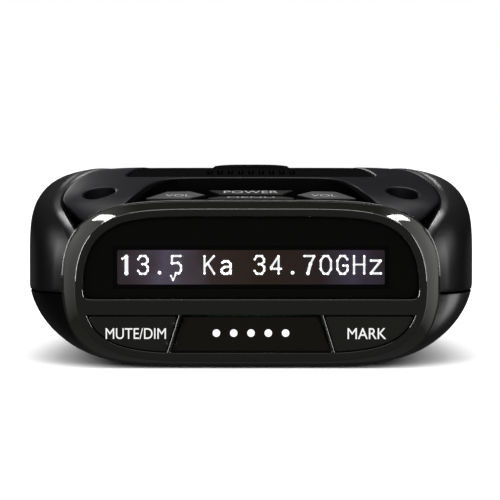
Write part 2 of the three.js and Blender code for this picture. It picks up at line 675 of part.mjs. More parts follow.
// ---------------------------------------------------------------- electronics
function hornAntenna() {
  const frame = (halfX, z0, z1, y) => [[-halfX, y, z0], [halfX, y, z0], [halfX, y, z1], [-halfX, y, z1]];
  const outer = loft([frame(7.5, 8.2, 15.6, 26), frame(7.5, 8.2, 15.6, 31), frame(16, 7.9, 16.4, 51.2)]);
  const inner = loft([frame(5, 9.6, 14.2, 29), frame(5, 9.6, 14.2, 32), frame(15.1, 8.8, 15.5, 51.5)]);
  return cut(outer, inner);
}

function rfShield() {
  return cut(block(-11, 11, 6, 25.5, 7.9, 12.9), block(-10.4, 10.4, 6.6, 24.9, 7, 12.3));
}

function mainBoard() {
  const outline = [
    [-24.5, -41.6], [24.5, -41.6], [27, -38], [27, 14], [22.5, 37], [-22.5, 37], [-27, 14], [-27, -38]
  ];
  const notches = CASE_SCREWS.map(([x, y]) => round("z", [x, y], 5, 9, 4));
  return cut(column(outline, 6, 7.6), ...notches);
}

function powerSocket() {
  const { y, halfY, z0, z1, opening } = POWER_SOCKET;
  const cavity = block(22.5, 40, y - opening.halfY, y + opening.halfY, opening.z0, opening.z1);
  const clip = block(16, 40, y - 1.6, y + 1.6, opening.z1 - 0.1, opening.z1 + 0.5);
  return cut(block(19, 29.6, y - halfY, y + halfY, z0, z1), cavity, clip);
}

function earphoneJack() {
  const body = block(-29.9, -20, EARPHONE.y - 3.4, EARPHONE.y + 3.4, 7.9, 18.4);
  const barrel = round("x", [EARPHONE.y, EARPHONE.z], -33.8, -29.8, 2.7, 2.7, 24);
  return cut(join(body, barrel), round("x", [EARPHONE.y, EARPHONE.z], -40, -21.5, 1.8, 1.8, 20));
}

function usbPort() {
  const body = block(
    -32.4, -25, USB.y - USB.halfY, USB.y + USB.halfY, USB.z - USB.halfZ, USB.z + USB.halfZ
  );
  const mouth = block(
    -40, -26, USB.y - USB.halfY + 0.4, USB.y + USB.halfY - 0.4, USB.z - USB.halfZ + 0.4,
    USB.z + USB.halfZ - 0.4
  );
  const tongue = block(-31.9, -25.5, USB.y - 2.4, USB.y + 2.4, USB.z - 0.35, USB.z + 0.35);
  const legs = block(-28.6, -25.5, USB.y - 3, USB.y + 3, 7.9, USB.z - USB.halfZ + 0.1);
  return join(cut(body, mouth), tongue, legs);
}

function screw(x, y, headZ, tipZ, up, headR) {
  const [z0, z1] = up ? [headZ - 1.5, headZ] : [headZ, headZ + 1.5];
  const head = round("z", [x, y], z0, z1, up ? headR * 0.8 : headR, up ? headR : headR * 0.8);
  const shank = round(
    "z", [x, y], Math.min(headZ, tipZ) - (up ? 0.2 : 0), Math.max(headZ, tipZ) + (up ? 0 : 0.2), 1, 1, 12
  );
  const slotZ = up ? [z0 - 1, z0 + 0.7] : [z1 - 0.7, z1 + 1];
  const cross = [
    block(x - 1.2, x + 1.2, y - 0.25, y + 0.25, ...slotZ),
    block(x - 0.25, x + 0.25, y - 1.2, y + 1.2, ...slotZ)
  ];
  return cut(join(head, shank), ...cross);
}

const aboutSpeaker = (low, high, r, rHigh) => round(
  "z", [0, SPEAKER_Y], SPEAKER_Z + low, SPEAKER_Z + high, r, rHigh, 28
);
const speakerFrame = () => cut(
  aboutSpeaker(0, 3.2, 6.5, 8.2), aboutSpeaker(0.8, 3.5, 5.7, 7.7), aboutSpeaker(-1, 4, 3, 3)
);
const speakerCone = () => cut(aboutSpeaker(1.1, 3.1, 3.2, 6.8), aboutSpeaker(1.6, 3.7, 2.9, 7.2));

// ---------------------------------------------------------------- assembly
add("lower_housing", lowerHousing(), SATIN);
add("upper_housing", upperHousing(), SATIN);
add("top_deck", topDeck(), DECK_SATIN);
add("gloss_inlay", glossInlay(), GLOSS);
add("button_tray", buttonTray(), GLOSS);
add("bracket_socket", bracketSocket(), BLACK_NYLON);

add("bezel_frame", bezelFrame(), BEZEL_FINISH);
add("display_window", plate(windowLoop(0.25), WINDOW_FRONT_Y, WINDOW_BACK_Y), SMOKED);
add("indicator_panel", indicatorPanel(), GLOSS);
add("indicator_light_pipe", lightPipe(), LIT);
add("display_glass", block(-22, 22, -54.1, -52.9, DISPLAY.bottom - 1.4, DISPLAY.top + 1.4), GLOSS);
add(
  "display_carrier", block(-22.3, 22.3, -52.6, -50.6, DISPLAY.bottom - 1.5, DISPLAY.top + 1.4), BLACK_NYLON
);
add("display_board", block(-19.4, 19.4, -49.6, -48.4, 3.4, 16.4), BOARD);

add("mute_dim_button", faceKey(-1), FACE_KEY);
add("mark_button", faceKey(1), FACE_KEY);
add("mute_dim_switch", frontSwitch(-1), STEEL);
add("mark_switch", frontSwitch(1), STEEL);
add("mute_dim_plunger", frontPlunger(-1), CREAM);
add("mark_plunger", frontPlunger(1), CREAM);

for (const [name, at] of Object.entries(TOP_SWITCHES)) {
  add(`${name}_button`, topKey(name), KEYCAP);
  add(`${name}_switch`, topSwitch(at), STEEL);
  add(`${name}_plunger`, topPlunger(at), CREAM);
}
const matHoles = Object.values(TOP_SWITCHES).map(([x, y]) => round("z", [x, y], 18, 25, 1.6, 1.6, 16));
add("keypad_mat", cut(block(-17, 17, -50.2, -41.8, 20.9, 21.5), ...matHoles), SILICONE);
add("control_board", block(-17.6, 17.6, -50.2, -41.6, ...CONTROL_BOARD_Z), BOARD);

add("release_button", releaseButton(), GLOSS);
add("release_spring", releaseSpring(), STEEL);
add("main_board", mainBoard(), BOARD);
add("horn_antenna", hornAntenna(), ZINC);
add("rf_shield", rfShield(), STEEL);
add("gps_antenna", block(-9, 9, -16, 2, 7.9, 12.1), CREAM);
add("processor", block(-7, 7, -38, -26, 7.9, 9.2), BLACK_NYLON);
add("laser_lens", round("y", [0, LASER_Z], 52, 55.2, LASER_R, LASER_R - 0.3, 24), IR_LENS);
add(
  "nose_window",
  plate(
    sectionLoop({ w: 20.4, top: 16.4, bottom: 4.6, mid: 10.4, nt: 4.6, mt: 3, nb: 4.6, mb: 3 }, 14),
    BODY_BACK_Y + GAP + 0.2, NOSE_Y
  ),
  IR_LENS,
);

add("speaker_frame", speakerFrame(), STEEL);
add("speaker_cone", speakerCone(), PAPER);
add("speaker_magnet", aboutSpeaker(-4, -GAP, 4.4, 4.4), STEEL);

add("power_socket", powerSocket(), BLACK_NYLON);
add("earphone_jack", earphoneJack(), BLACK_NYLON);
add("usb_port", usbPort(), STEEL);

CASE_SCREWS.forEach(([x, y], i) => add(`case_screw_${i + 1}`, screw(x, y, 5.3, 16.5, true, 2.1), STEEL));
[-1, 1].forEach((side, i) =>
  add(`deck_screw_${i + 1}`, screw(side * WELL.x, WELL.y, WELL.floor + GAP, 6.5, false, 2.1), BRASS),
);

export default group;
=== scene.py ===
import json
import math

import bmesh
import bpy
import numpy as np
from bpy.props import FloatProperty, FloatVectorProperty, PointerProperty
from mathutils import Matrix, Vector
from mathutils.geometry import delaunay_2d_cdt

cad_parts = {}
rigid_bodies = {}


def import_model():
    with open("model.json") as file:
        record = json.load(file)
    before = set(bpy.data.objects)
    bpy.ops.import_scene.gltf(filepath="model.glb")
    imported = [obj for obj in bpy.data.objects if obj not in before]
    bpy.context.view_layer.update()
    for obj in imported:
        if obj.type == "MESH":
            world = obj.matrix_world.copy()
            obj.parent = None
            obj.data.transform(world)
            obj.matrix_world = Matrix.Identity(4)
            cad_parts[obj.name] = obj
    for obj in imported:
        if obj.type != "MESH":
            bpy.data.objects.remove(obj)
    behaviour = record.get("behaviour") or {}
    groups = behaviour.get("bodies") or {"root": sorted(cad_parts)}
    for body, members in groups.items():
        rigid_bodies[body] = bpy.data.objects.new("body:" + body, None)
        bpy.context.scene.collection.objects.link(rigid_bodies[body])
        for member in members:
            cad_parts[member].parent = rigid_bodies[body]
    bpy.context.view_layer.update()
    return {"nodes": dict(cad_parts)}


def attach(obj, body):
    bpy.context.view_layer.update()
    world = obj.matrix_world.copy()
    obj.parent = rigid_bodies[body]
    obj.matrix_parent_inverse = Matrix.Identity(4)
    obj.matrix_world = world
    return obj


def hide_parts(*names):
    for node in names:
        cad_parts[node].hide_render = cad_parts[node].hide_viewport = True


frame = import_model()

bl_info = {
    "name": "Radar Detector Looks",
    "version": (1, 0, 0),
    "blender": (4, 5, 0),
    "location": "View3D > Sidebar > Detector",
    "description": "Builds the finished outside of a windshield radar detector around its packed CAD model",
    "category": "Object",
}

MM = 0.001

# ------------------------------------------------------------------ the body's shape, in millimetres
FACE_Y = -57.0
BODY_FRONT = -51.2
BODY_BACK = 55.0
NOSE_Y = 57.0
UPPER_EDGE = 11.15  # underside of the upper shell
LOWER_EDGE = 10.85  # top of the lower shell
DECK_INSET = 0.25
INLAY_INSET = 0.35

# y, half-width, top, bottom, widest height, exponents above (across, up) and below (across, down)
BODY = np.array(
    [
        (-51.2, 28.75, 25.1, 0.25, 12.5, 5.2, 2.6, 7, 2.1),
        (-49.8, 30.3, 25.6, 0, 12.3, 5.4, 3.05, 6.5, 1.95),
        (-47, 32.35, 26.5, -0.1, 12, 5.9, 4.1, 5.85, 1.72),
        (-43, 33.85, 27.5, -0.25, 11.9, 6.35, 5.1, 5.3, 1.6),
        (-38, 34.75, 28.45, -0.3, 12, 6.6, 5.6, 5.1, 1.6),
        (-30, 35.05, 29.5, -0.3, 12, 6.7, 5.8, 5, 1.6),
        (-20, 34.95, 30.15, -0.3, 12, 6.7, 5.8, 5, 1.6),
        (-8, 34.35, 30.2, -0.3, 11.8, 6.6, 5.65, 4.9, 1.6),
        (6, 33.25, 29.5, -0.3, 11.4, 6.45, 5.5, 4.8, 1.6),
        (18, 31.75, 27.8, -0.25, 10.9, 6.25, 5.3, 4.7, 1.6),
        (30, 29.75, 25, -0.05, 10.4, 5.9, 5.1, 4.6, 1.65),
        (42, 27.3, 21.95, 0.6, 10.2, 5.4, 4.3, 4.6, 1.95),
        (51, 25.1, 19.7, 1.6, 10.3, 5.05, 3.5, 4.6, 2.4),
        (54, 24, 18.8, 2.4, 10.4, 4.9, 3.1, 4.5, 2.6),
        (55, 22.6, 17.8, 3.3, 10.4, 4.8, 3, 4.4, 2.6),
    ]
)
BEZEL_FRONT = (26.45, 24.0, 1.0, 12.5, 5.85, 2.12, 5.0, 2.6)
BEZEL_REAR = (28.65, 25.05, 0.3, 12.5, 5.2, 2.6, 7.0, 2.1)
BEZEL_REAR_Y = -51.5
NOSE_SECTION = (20.4, 16.4, 4.6, 10.4, 4.6, 3.0, 4.6, 3.0)
PARTING_GAP = 0.1  # how far each shell stays off the parting line
BODY_EDGE = BODY_FRONT + 0.1  # where the deck and the dish end behind the bezel

# Right halves of the outlines in plan, from the bezel towards the windshield.
DECK_HALF = [
    (25, -52), (26.8, -50.2), (28.8, -47), (29.5, -44), (28.9, -39), (27.5, -30), (26, -20),
    (23.6, -8), (20.8, 4), (17.2, 14), (12, 20), (5, 22.6), (0, 23),
]
BOWL_RIM_HALF = [(19.6, -52), (17.3, -47.3), (15.2, -41.3), (13, -37.9), (10, -36.6), (0, -36.4)]
BOWL_FLOOR_HALF = [(18.2, -52), (16.9, -48.5), (14.9, -44.6), (13, -42.7), (10, -42.2), (0, -42.1)]
INLAY_HALF = [
    (0, -34.8), (10, -34.8), (17.6, -34.7), (19.4, -33.4), (18.7, -25), (17.5, -13), (15.8, -1),
    (13.4, 8), (9, 14), (4, 16.3), (0, 16.5),
]
BOWL_FLOOR = 24.3
WELL = (23.4, -45.0, 2.5)  # x, y and radius of the round screw wells
SLOTS = dict(count=9, pitch=1.65, half=0.4, y0=-32.0, y1=-24.5)
RELEASE = dict(half=6.7, y0=-4.0, y1=6.0, top=30.4)
TUNNEL = dict(half=10.5, mouth=31.5, rear=54.45)  # half-width and ends of the bracket's slot
POWER_SOCKET = (-5.4, 5.4, 11.9, 18.6)  # y and z limits of the openings in the sides
DATA_SOCKET = (6.7, 15.3, 12.5, 16.7)
EARPHONE = (-4, 15, 3.1)  # y, z and radius
CASE_SCREWS = [(29.2, -27), (-29.2, -27), (21, 38), (-21, 38)]

# Face plane, x and z.
WINDOW_RIM = 1.2
LOWER_RIM = 1.2
CROSSBAR_TOP = 10.4
CROSSBAR_BOTTOM = 8.1
PANEL_TOP_HALF = 10.45
PANEL_BOTTOM_HALF = 12.25
PANEL_BOTTOM = 2.3
DISPLAY = (20.2, 12.5, 17.7)  # half-width, bottom and top of the lit area
INDICATORS = [((i - 2) * 2.6, 5.3) for i in range(5)]
INDICATOR_RADIUS = 0.55
PANE_Y = -56.75  # front of the window and of the indicator panel
READOUT_Y = -54.2
TOP_KEYS = {
    "volume_down": (
        [(-16.4, -49.6), (-9.4, -49.6), (-6.8, -46.4), (-9.4, -43.2), (-13.2, -43.6)], 25.35, 0.17
    ),
    "power": ([(5, -46.1), (6.9, -43.2), (-6.9, -43.2), (-5, -46.1)], 25.3, 0.2),
    "menu": ([(7, -49.7), (5, -46.75), (-5, -46.75), (-7, -49.7)], 25.45, 0.08),
    "volume_up": ([(13.2, -43.6), (9.4, -43.2), (6.8, -46.4), (9.4, -49.6), (16.4, -49.6)], 25.35, 0.17),
}
KEY_FRONT = -49.7  # where the slope of the top keys starts


# ------------------------------------------------------------------ curves in a plane
def sections(y):
    """The eight section values at each y: cubic Hermite pieces whose slope at a station is its neighbours'
    chord."""
    y = np.clip(np.asarray(y, float), BODY[0, 0], BODY[-1, 0])
    at, values = BODY[:, 0], BODY[:, 1:]
    last = len(at) - 1
    i = np.clip(np.searchsorted(at, y, side="right") - 1, 0, last - 1)
    low, high = np.maximum(np.arange(last + 1) - 1, 0), np.minimum(np.arange(last + 1) + 1, last)
    slope = (values[high] - values[low]) / (at[high] - at[low])[:, None]
    span = (at[i + 1] - at[i])[..., None]
    t = (y[..., None] - at[i][..., None]) / span
    return (
        (2 * t**3 - 3 * t**2 + 1) * values[i]
        + (t**3 - 2 * t**2 + t) * span * slope[i]
        + (3 * t**2 - 2 * t**3) * values[i + 1]
        + (t**3 - t**2) * span * slope[i + 1]
    ).T


def on_section(section, angle, up=1.0, inset=0.0):
    """x and z on |x / w| ^ n + |dz / h| ^ m = 1 in the direction angle, measured from straight up (or down)
    in the square where w and h are 1. The distance r solves (r |sin|) ^ n + (r |cos|) ^ m = 1 by Newton's
    method."""
    w, top, bottom, mid, nt, mt, nb, mb = section
    across, along_z = np.sin(angle), np.cos(angle) * up
    above = along_z >= 0
    n, m = np.where(above, nt, nb), np.where(above, mt, mb)
    height = np.where(above, top - inset - mid, mid - bottom - inset)
    a, b = np.abs(across) + 1e-12, np.abs(along_z) + 1e-12
    r = 1 / np.maximum(a, b)
    for _ in range(12):
        p, q = (r * a) ** n, (r * b) ** m
        r = r - (p + q - 1) * r / (n * p + m * q)
    return (w - inset) * r * across, mid + height * r * along_z


def angle_at(section, x, z, up=1.0):
    """The direction angle of a point (x, z) of the section, as on_section takes it."""
    w, top, bottom, mid = section[:4]
    dz = z - mid
    return np.arctan2(x / w, up * dz / np.where(dz >= 0, top - mid, mid - bottom))


def crown_z(x, y, inset=0.0):
    """Height of the body's top: mid + h (1 - |x / w| ^ n) ^ (1 / m)."""
    w, top, _, mid, n, m, _, _ = sections(y)
    return mid + (top - inset - mid) * np.clip(1 - np.abs(x / (w - inset)) ** n, 0, 1) ** (1 / m)


def side_x(z, y):
    """Half-width of the body at height z: w (1 - |dz / h| ^ m) ^ (1 / n)."""
    w, top, bottom, mid, nt, mt, nb, mb = sections(y)
    above = z >= mid
    h, n, m = np.where(above, top - mid, mid - bottom), np.where(above, nt, nb), np.where(above, mt, mb)
    return w * np.clip(1 - (np.abs(z - mid) / h) ** m, 0, 1) ** (1 / n)


def resample(points, pitch, closed=False):
    """Points every pitch, or a little less, along a polyline, ends kept."""
    p = np.asarray(points, float)
    if closed:
        p = np.vstack([p, p[:1]])
    length = np.concatenate([[0], np.cumsum(np.linalg.norm(np.diff(p, axis=0), axis=1))])
    count = max(int(math.ceil(length[-1] / pitch)), 2)
    at = np.linspace(0, length[-1], count + 1)
    out = np.stack([np.interp(at, length, p[:, k]) for k in range(p.shape[1])], 1)
    return out[:-1] if closed else out


def spline(points, pitch, closed=False):
    """Uniform Catmull-Rom curve through the points, resampled to the pitch."""
    p = np.asarray(points, float)
    q = np.vstack([p[-1:], p, p[:2]]) if closed else np.vstack([p[:1], p, p[-1:]])
    t = np.linspace(0, 1, 24, endpoint=False)[:, None, None]
    a, b, c, d = q[:-3], q[1:-2], q[2:-1], q[3:]
    curve = 0.5 * (2 * b + (c - a) * t + (2 * a - 5 * b + 4 * c - d) * t**2 + (3 * b - a - 3 * c + d) * t**3)
    curve = curve.transpose(1, 0, 2).reshape(-1, 2)
    return resample(curve if closed else np.vstack([curve, p[-1:]]), pitch, closed)


def both_sides(half):
    """The right half's points followed by their mirror image."""
    return list(half) + [(-x, y) for x, y in reversed(half) if x > 0]


def offset(loop, distance):
    """A closed loop moved to its left by distance, along the normal of its neighbours' chord."""
    chord = np.roll(loop, -1, 0) - np.roll(loop, 1, 0)
    chord /= np.linalg.norm(chord, axis=1)[:, None]
    return loop + distance * np.stack([-chord[:, 1], chord[:, 0]], 1)


def area(loop):
    x, y = loop.T
    return 0.5 * np.sum(x * np.roll(y, -1) - np.roll(x, -1) * y)


def turned(loop, anticlockwise=True):
    return loop if (area(loop) > 0) == anticlockwise else loop[::-1]


def rounded(corners, radius, pitch=0.12):
    """A polygon whose corners are arcs of a circle, drawn as quadratic curves between their tangent
    points."""
    p = np.asarray(corners, float)
    before, after = np.roll(p, 1, 0) - p, np.roll(p, -1, 0) - p
    lb, la = np.linalg.norm(before, axis=1), np.linalg.norm(after, axis=1)
    before, after = before / lb[:, None], after / la[:, None]
    half = np.arccos(np.clip(np.sum(before * after, 1), -1, 1)) / 2
    reach = np.minimum(radius / np.tan(half), 0.45 * np.minimum(lb, la))
    t = np.linspace(0, 1, 9)[None, :, None]
    start, end = (p + before * reach[:, None])[:, None], (p + after * reach[:, None])[:, None]
    arcs = (1 - t) ** 2 * start + 2 * t * (1 - t) * p[:, None] + t**2 * end
    return resample(arcs.reshape(-1, 2), pitch, True)


def box(x0, x1, y0, y1, radius, pitch=0.12):
    """A rectangle with rounded corners."""
    return rounded([(x1, y0), (x1, y1), (x0, y1), (x0, y0)], radius, pitch)


def clip(loop, a, b, c):
    """Part of a convex loop where a x + b z <= c."""
    out = []
    for p, q in zip(loop, np.roll(loop, -1, 0)):
        dp, dq = a * p[0] + b * p[1] - c, a * q[0] + b * q[1] - c
        if dp <= 0:
            out.append(p)
        if dp * dq < 0:
            out.append(p + (q - p) * dp / (dp - dq))
    return np.array(out)


def soften(loop, radius, pitch=0.12):
    """Rounds a closed loop by averaging it with its neighbours over a stretch of about the radius."""
    fine = resample(loop, pitch, True)
    reach = max(int(radius / pitch), 1)
    weight = np.hanning(2 * reach + 3)[1:-1]
    weight /= weight.sum()
    return sum(w * np.roll(fine, k - reach, 0) for k, w in enumerate(weight))


def circle(x, y, r, count=48):
    a = np.arange(count) * 2 * math.pi / count
    return np.stack([x + r * np.cos(a), y + r * np.sin(a)], 1)


def section_points(section, count):
    """Points (x, z) all round a section, from its top."""
    a = -np.arange(count) * 2 * math.pi / count
    return np.stack(on_section(np.array(section)[:, None] * np.ones(count), a), 1)


def face_outline(section):
    """A whole section as a closed anticlockwise loop in (x, z)."""
    return turned(resample(section_points(section, 260), 0.25, True))


def standing(loop, y):
    """Points (x, z) put in the plane at y."""
    return np.column_stack([loop[:, 0], np.full(len(loop), y), loop[:, 1]])


# ------------------------------------------------------------------ surfaces
def inside(points, loops):
    """Even-odd test of points against closed loops."""
    hit = np.zeros(len(points), bool)
    for loop in loops:
        a, b = loop, np.roll(loop, -1, 0)
        flat = np.abs(b[:, 1] - a[:, 1]) < 1e-12
        rise = np.where(flat, 1.0, b[:, 1] - a[:, 1])
        for part in np.array_split(np.arange(len(points)), max(len(points) // 4000, 1)):
            p = points[part]
            spans = (a[None, :, 1] > p[:, 1:]) != (b[None, :, 1] > p[:, 1:])
            x = a[:, 0] + (p[:, 1:] - a[:, 1]) * (b[:, 0] - a[:, 0]) / rise
            hit[part] ^= (np.sum(spans & (p[:, :1] < x), 1) % 2).astype(bool)
    return hit


def clear_of(points, loops, distance):
    """True for the points that are further than distance from every loop's vertices."""
    keep = np.ones(len(points), bool)
    edge = np.vstack(loops)
    for part in np.array_split(np.arange(len(points)), max(len(points) // 2000, 1)):
        d = points[part][:, None] - edge[None]
        keep[part] = np.min(d[..., 0] ** 2 + d[..., 1] ** 2, 1) > distance**2
    return keep


class Sheet:
    """A surface given by a function from the plane to space, cut to outlines. Its boundary edges get lips:
    a quarter circle of the given radius that turns down from the surface, then a wall."""

    def __init__(self, lift, flip=False):
        self.lift, self.flip, self.parts = lift, flip, []

    def normals(self, p, step=1e-3):
        """Cross product of the surface's two slopes, found by central differences."""
        a = self.lift(p + [step, 0]) - self.lift(p - [step, 0])
        b = self.lift(p + [0, step]) - self.lift(p - [0, step])
        n = np.cross(a, b)
        return n / np.maximum(np.linalg.norm(n, axis=1), 1e-15)[:, None]

    def fill(self, outer, holes=(), pitch=0.6):
        """Constrained Delaunay triangles over the outline less its holes, on a grid of the pitch, lifted to
        space."""
        loops = [turned(np.asarray(outer, float))] + [turned(np.asarray(h, float), False) for h in holes]
        low, high = loops[0].min(0), loops[0].max(0)
        gx = np.arange(low[0] + pitch / 2, high[0], pitch)
        gy = np.arange(low[1] + pitch / 2, high[1], pitch * 0.866)
        x, y = np.meshgrid(gx, gy)
        x = x + (np.arange(len(gy)) % 2)[:, None] * pitch / 2
        grid = np.stack([x.ravel(), y.ravel()], 1)
        grid = grid[inside(grid, loops)]
        grid = grid[clear_of(grid, loops, 0.55 * pitch)]
        points, edges, start = np.vstack(loops + [grid]), [], 0
        for loop in loops:
            i = np.arange(len(loop))
            edges += (np.stack([i, (i + 1) % len(loop)], 1) + start).tolist()
            start += len(loop)
        done = delaunay_2d_cdt([Vector(p) for p in points], edges, [], 0, 1e-7, False)
        flat = np.array([v[:] for v in done[0]])
        faces = np.array([f for f in done[2] if len(f) == 3])
        faces = faces[inside(flat[faces].mean(1), loops)]
        self.parts.append((self.lift(flat), faces[:, ::-1] if self.flip else faces))
        return self

    def lip(self, line, radius, depth, hole=False, closed=True, down=None, steps=5, sweep=math.pi / 2):
        """Arc and wall along a boundary line: p + b r sin a - n r (1 - cos a) for a up to the sweep, then
        depth along -n or down, with n the surface's normal and b the tangent crossed with n, off the
        surface."""
        line = np.asarray(line, float)
        if closed:
            line = turned(line, not hole)
        p, n = self.lift(line), self.normals(line)
        if closed:
            t = np.roll(p, -1, 0) - np.roll(p, 1, 0)
        else:
            t = np.vstack([p[1:], p[-1:]]) - np.vstack([p[:1], p[:-1]])
        t /= np.maximum(np.linalg.norm(t, axis=1), 1e-12)[:, None]
        b = np.cross(t, n)
        b /= np.maximum(np.linalg.norm(b, axis=1), 1e-12)[:, None]
        out = -n if self.flip else n
        a = np.linspace(0, sweep, steps + 1)[:, None, None]
        rows = p[None] + b[None] * radius * np.sin(a) - out[None] * radius * (1 - np.cos(a))
        way = -out if down is None else np.broadcast_to(np.asarray(down, float), out.shape)
        rows = np.concatenate([rows, (rows[-1] + way * depth)[None]])
        self.grid(rows, closed, self.flip)
        return self

    def grid(self, rows, closed=False, flip=False):
        """Quads between rows of points, rows x columns x 3, joined end to start if closed."""
        r, c = rows.shape[:2]
        i = np.arange(r - 1)[:, None] * c
        j = np.arange(c if closed else c - 1)[None]
        k = (j + 1) % c
        quads = np.stack([i + j, i + c + j, i + c + k, i + k], -1).reshape(-1, 4)
        self.parts.append((rows.reshape(-1, 3), quads[:, ::-1] if flip else quads))
        return self

    def place(self, name, body, node, slot, material):
        return piece(name, self.parts, body, node, material)


def show(name, data):
    """An object of the scene that holds data."""
    obj = bpy.data.objects.new(name, data)
    bpy.context.scene.collection.objects.link(obj)
    return obj


def piece(name, parts, body, nodes, material, smooth=True):
    """One mesh from lists of points in millimetres and faces, with its doubles merged, riding on a body."""
    points = np.vstack([p for p, _ in parts]) * MM
    faces, start = [], 0
    for p, f in parts:
        faces += (np.asarray(f) + start).tolist()
        start += len(p)
    mesh = bpy.data.meshes.new(name)
    mesh.from_pydata(points.tolist(), [], faces)
    bm = bmesh.new()
    bm.from_mesh(mesh)
    bmesh.ops.remove_doubles(bm, verts=bm.verts, dist=2e-6)
    bmesh.ops.dissolve_degenerate(bm, edges=bm.edges, dist=1e-7)
    bm.to_mesh(mesh)
    bm.free()
    mesh.validate()
    if smooth:
        mesh.shade_smooth()
        mesh.set_sharp_from_angle(angle=math.radians(50))
    mesh.materials.append(material)
    obj = show(name, mesh)
    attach(obj, body)
    if nodes:
        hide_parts(*([nodes] if isinstance(nodes, str) else nodes))
    return obj


# ------------------------------------------------------------------ shader maths
class Wire:
    """A value socket whose + - * / add Math nodes."""

    def __init__(self, shader, socket):
        self.shader, self.socket = shader, socket

    def _math(self, operation, a, b):
        return self.shader.node("ShaderNodeMath", {"operation": operation}, {0: a, 1: b})

    def __add__(self, other):
        return self._math("ADD", self, other)

    def __radd__(self, other):
        return self._math("ADD", other, self)

    def __sub__(self, other):
        return self._math("SUBTRACT", self, other)

    def __rsub__(self, other):
        return self._math("SUBTRACT", other, self)

    def __mul__(self, other):
        return self._math("MULTIPLY", self, other)

    def __rmul__(self, other):
        return self._math("MULTIPLY", other, self)

    def __truediv__(self, other):
        return self._math("DIVIDE", self, other)


class Shader:
    """The node tree of a material or of the world, with one method that adds any node."""

    def __init__(self, name, world=False):
        self.material = (bpy.data.worlds if world else bpy.data.materials).new(name)
        self.material.use_nodes = True
        self.tree = self.material.node_tree
        self.tree.nodes.clear()
        self.output = self.tree.nodes.new("ShaderNodeOutputWorld" if world else "ShaderNodeOutputMaterial")

    def node(self, kind, settings=None, sockets=None, out=0):
        """Adds a node, applies its settings (a ramp's stops among them), then its sockets' values or
        links."""
        made = self.tree.nodes.new(kind)
        for key, value in (settings or {}).items():
            if key == "stops":
                ramp = made.color_ramp
                while len(ramp.elements) > 1:
                    ramp.elements.remove(ramp.elements[-1])
                for index, (place, colour) in enumerate(value):
                    element = ramp.elements[0] if index == 0 else ramp.elements.new(place)
                    element.position, element.color = place, (*colour, 1)
            else:
                setattr(made, key, value)
        for key, value in (sockets or {}).items():
            if isinstance(value, Wire):
                self.tree.links.new(value.socket, made.inputs[key])
            else:
                made.inputs[key].default_value = value
        return Wire(self, made.outputs[out])

    def place(self):
        """Object coordinates, in metres."""
        return self.node("ShaderNodeTexCoord", out="Object")

    def noise(self, scale, detail=2.0, stretch=None):
        """Noise in object space, or in that space times a stretch along each axis."""
        place = self.place()
        if stretch:
            place = self.node("ShaderNodeMapping", {}, {"Vector": place, "Scale": stretch})
        return self.node("ShaderNodeTexNoise", {}, {"Vector": place, "Scale": scale, "Detail": detail})

    def mix(self, factor, a, b):
        """Colour between a and b."""
        return self.node("ShaderNodeMix", {"data_type": "RGBA"}, {0: factor, 6: (*a, 1), 7: (*b, 1)}, out=2)

    def bump(self, strength, depth, height):
        """Normal of a height field whose depth is in millimetres."""
        sockets = {"Strength": strength, "Distance": depth * MM, "Height": height}
        return self.node("ShaderNodeBump", {}, sockets)

    def principled(self, base, roughness, **more):
        """A Principled surface. The names of more are its sockets', with _ for a space."""
        sockets = {key.replace("_", " "): value for key, value in more.items()}
        return self.node(
            "ShaderNodeBsdfPrincipled", {}, {"Base Color": base, "Roughness": roughness, **sockets}
        )

    def finish(self, surface):
        self.tree.links.new(surface.socket, self.output.inputs["Surface"])
        return self.material


def moulded(name, colour, tint, rough, spread, grain, depth, specular=0.5):
    """Moulded plastic: colour drifting to a tint in broad patches, a fine spark texture in bump and
    roughness, and faint smears that change the gloss."""
    s = Shader(name)
    fine, broad, wipe = s.noise(grain, 1.0), s.noise(90.0, 3.0), s.noise(1.0, 2.0, (900, 140, 900))
    roughness = rough - spread + 1.4 * spread * broad + 0.5 * spread * wipe + 0.3 * spread * fine
    normal = s.bump(0.6, depth, fine)
    return s.finish(
        s.principled(s.mix(broad, colour, tint), roughness, Normal=normal, Specular_IOR_Level=specular)
    )


def metal(name, colour, tint, rough, stretch=(400, 400, 400)):
    """Metal with drawn or cast streaks in its colour and roughness."""
    s = Shader(name)
    streak = s.noise(1.0, 4.0, stretch)
    roughness, normal = rough - 0.1 + 0.25 * streak, s.bump(0.3, 0.01, streak)
    return s.finish(s.principled(s.mix(streak, colour, tint), roughness, Metallic=1.0, Normal=normal))


def lit(name, colour, strength):
    """A lit surface whose brightness drifts by 8%."""
    s = Shader(name)
    glow = s.mix(s.noise(700.0, 1.0), [c * 0.92 for c in colour], colour)
    return s.finish(s.principled(glow, 0.4, Emission_Color=glow, Emission_Strength=strength))


def smoked(name, tint):
    """Clear smoked acrylic: what is behind shows through its tint, and Fresnel adds the gloss of its face."""
    s = Shader(name)
    through = s.node("ShaderNodeBsdfTransparent", {}, {"Color": (*tint, 1)})
    gloss = s.principled((0.9, 0.9, 0.9, 1), 0.03 + 0.04 * s.noise(120.0, 3.0), Metallic=1.0)
    fresnel = s.node("ShaderNodeFresnel", {}, {"IOR": 1.49})
    return s.finish(s.node("ShaderNodeMixShader", {}, {0: fresnel * 0.3, 1: through, 2: gloss}))


# ------------------------------------------------------------------ settings
def colour_setting(name, description, value):
    return FloatVectorProperty(
        name=name, description=description, subtype="COLOR", size=3, min=0, max=1, default=value
    )


def length_setting(name, description, value):
    return FloatProperty(
        name=name, description=description, unit="LENGTH", min=0, default=value * MM, precision=5
    )


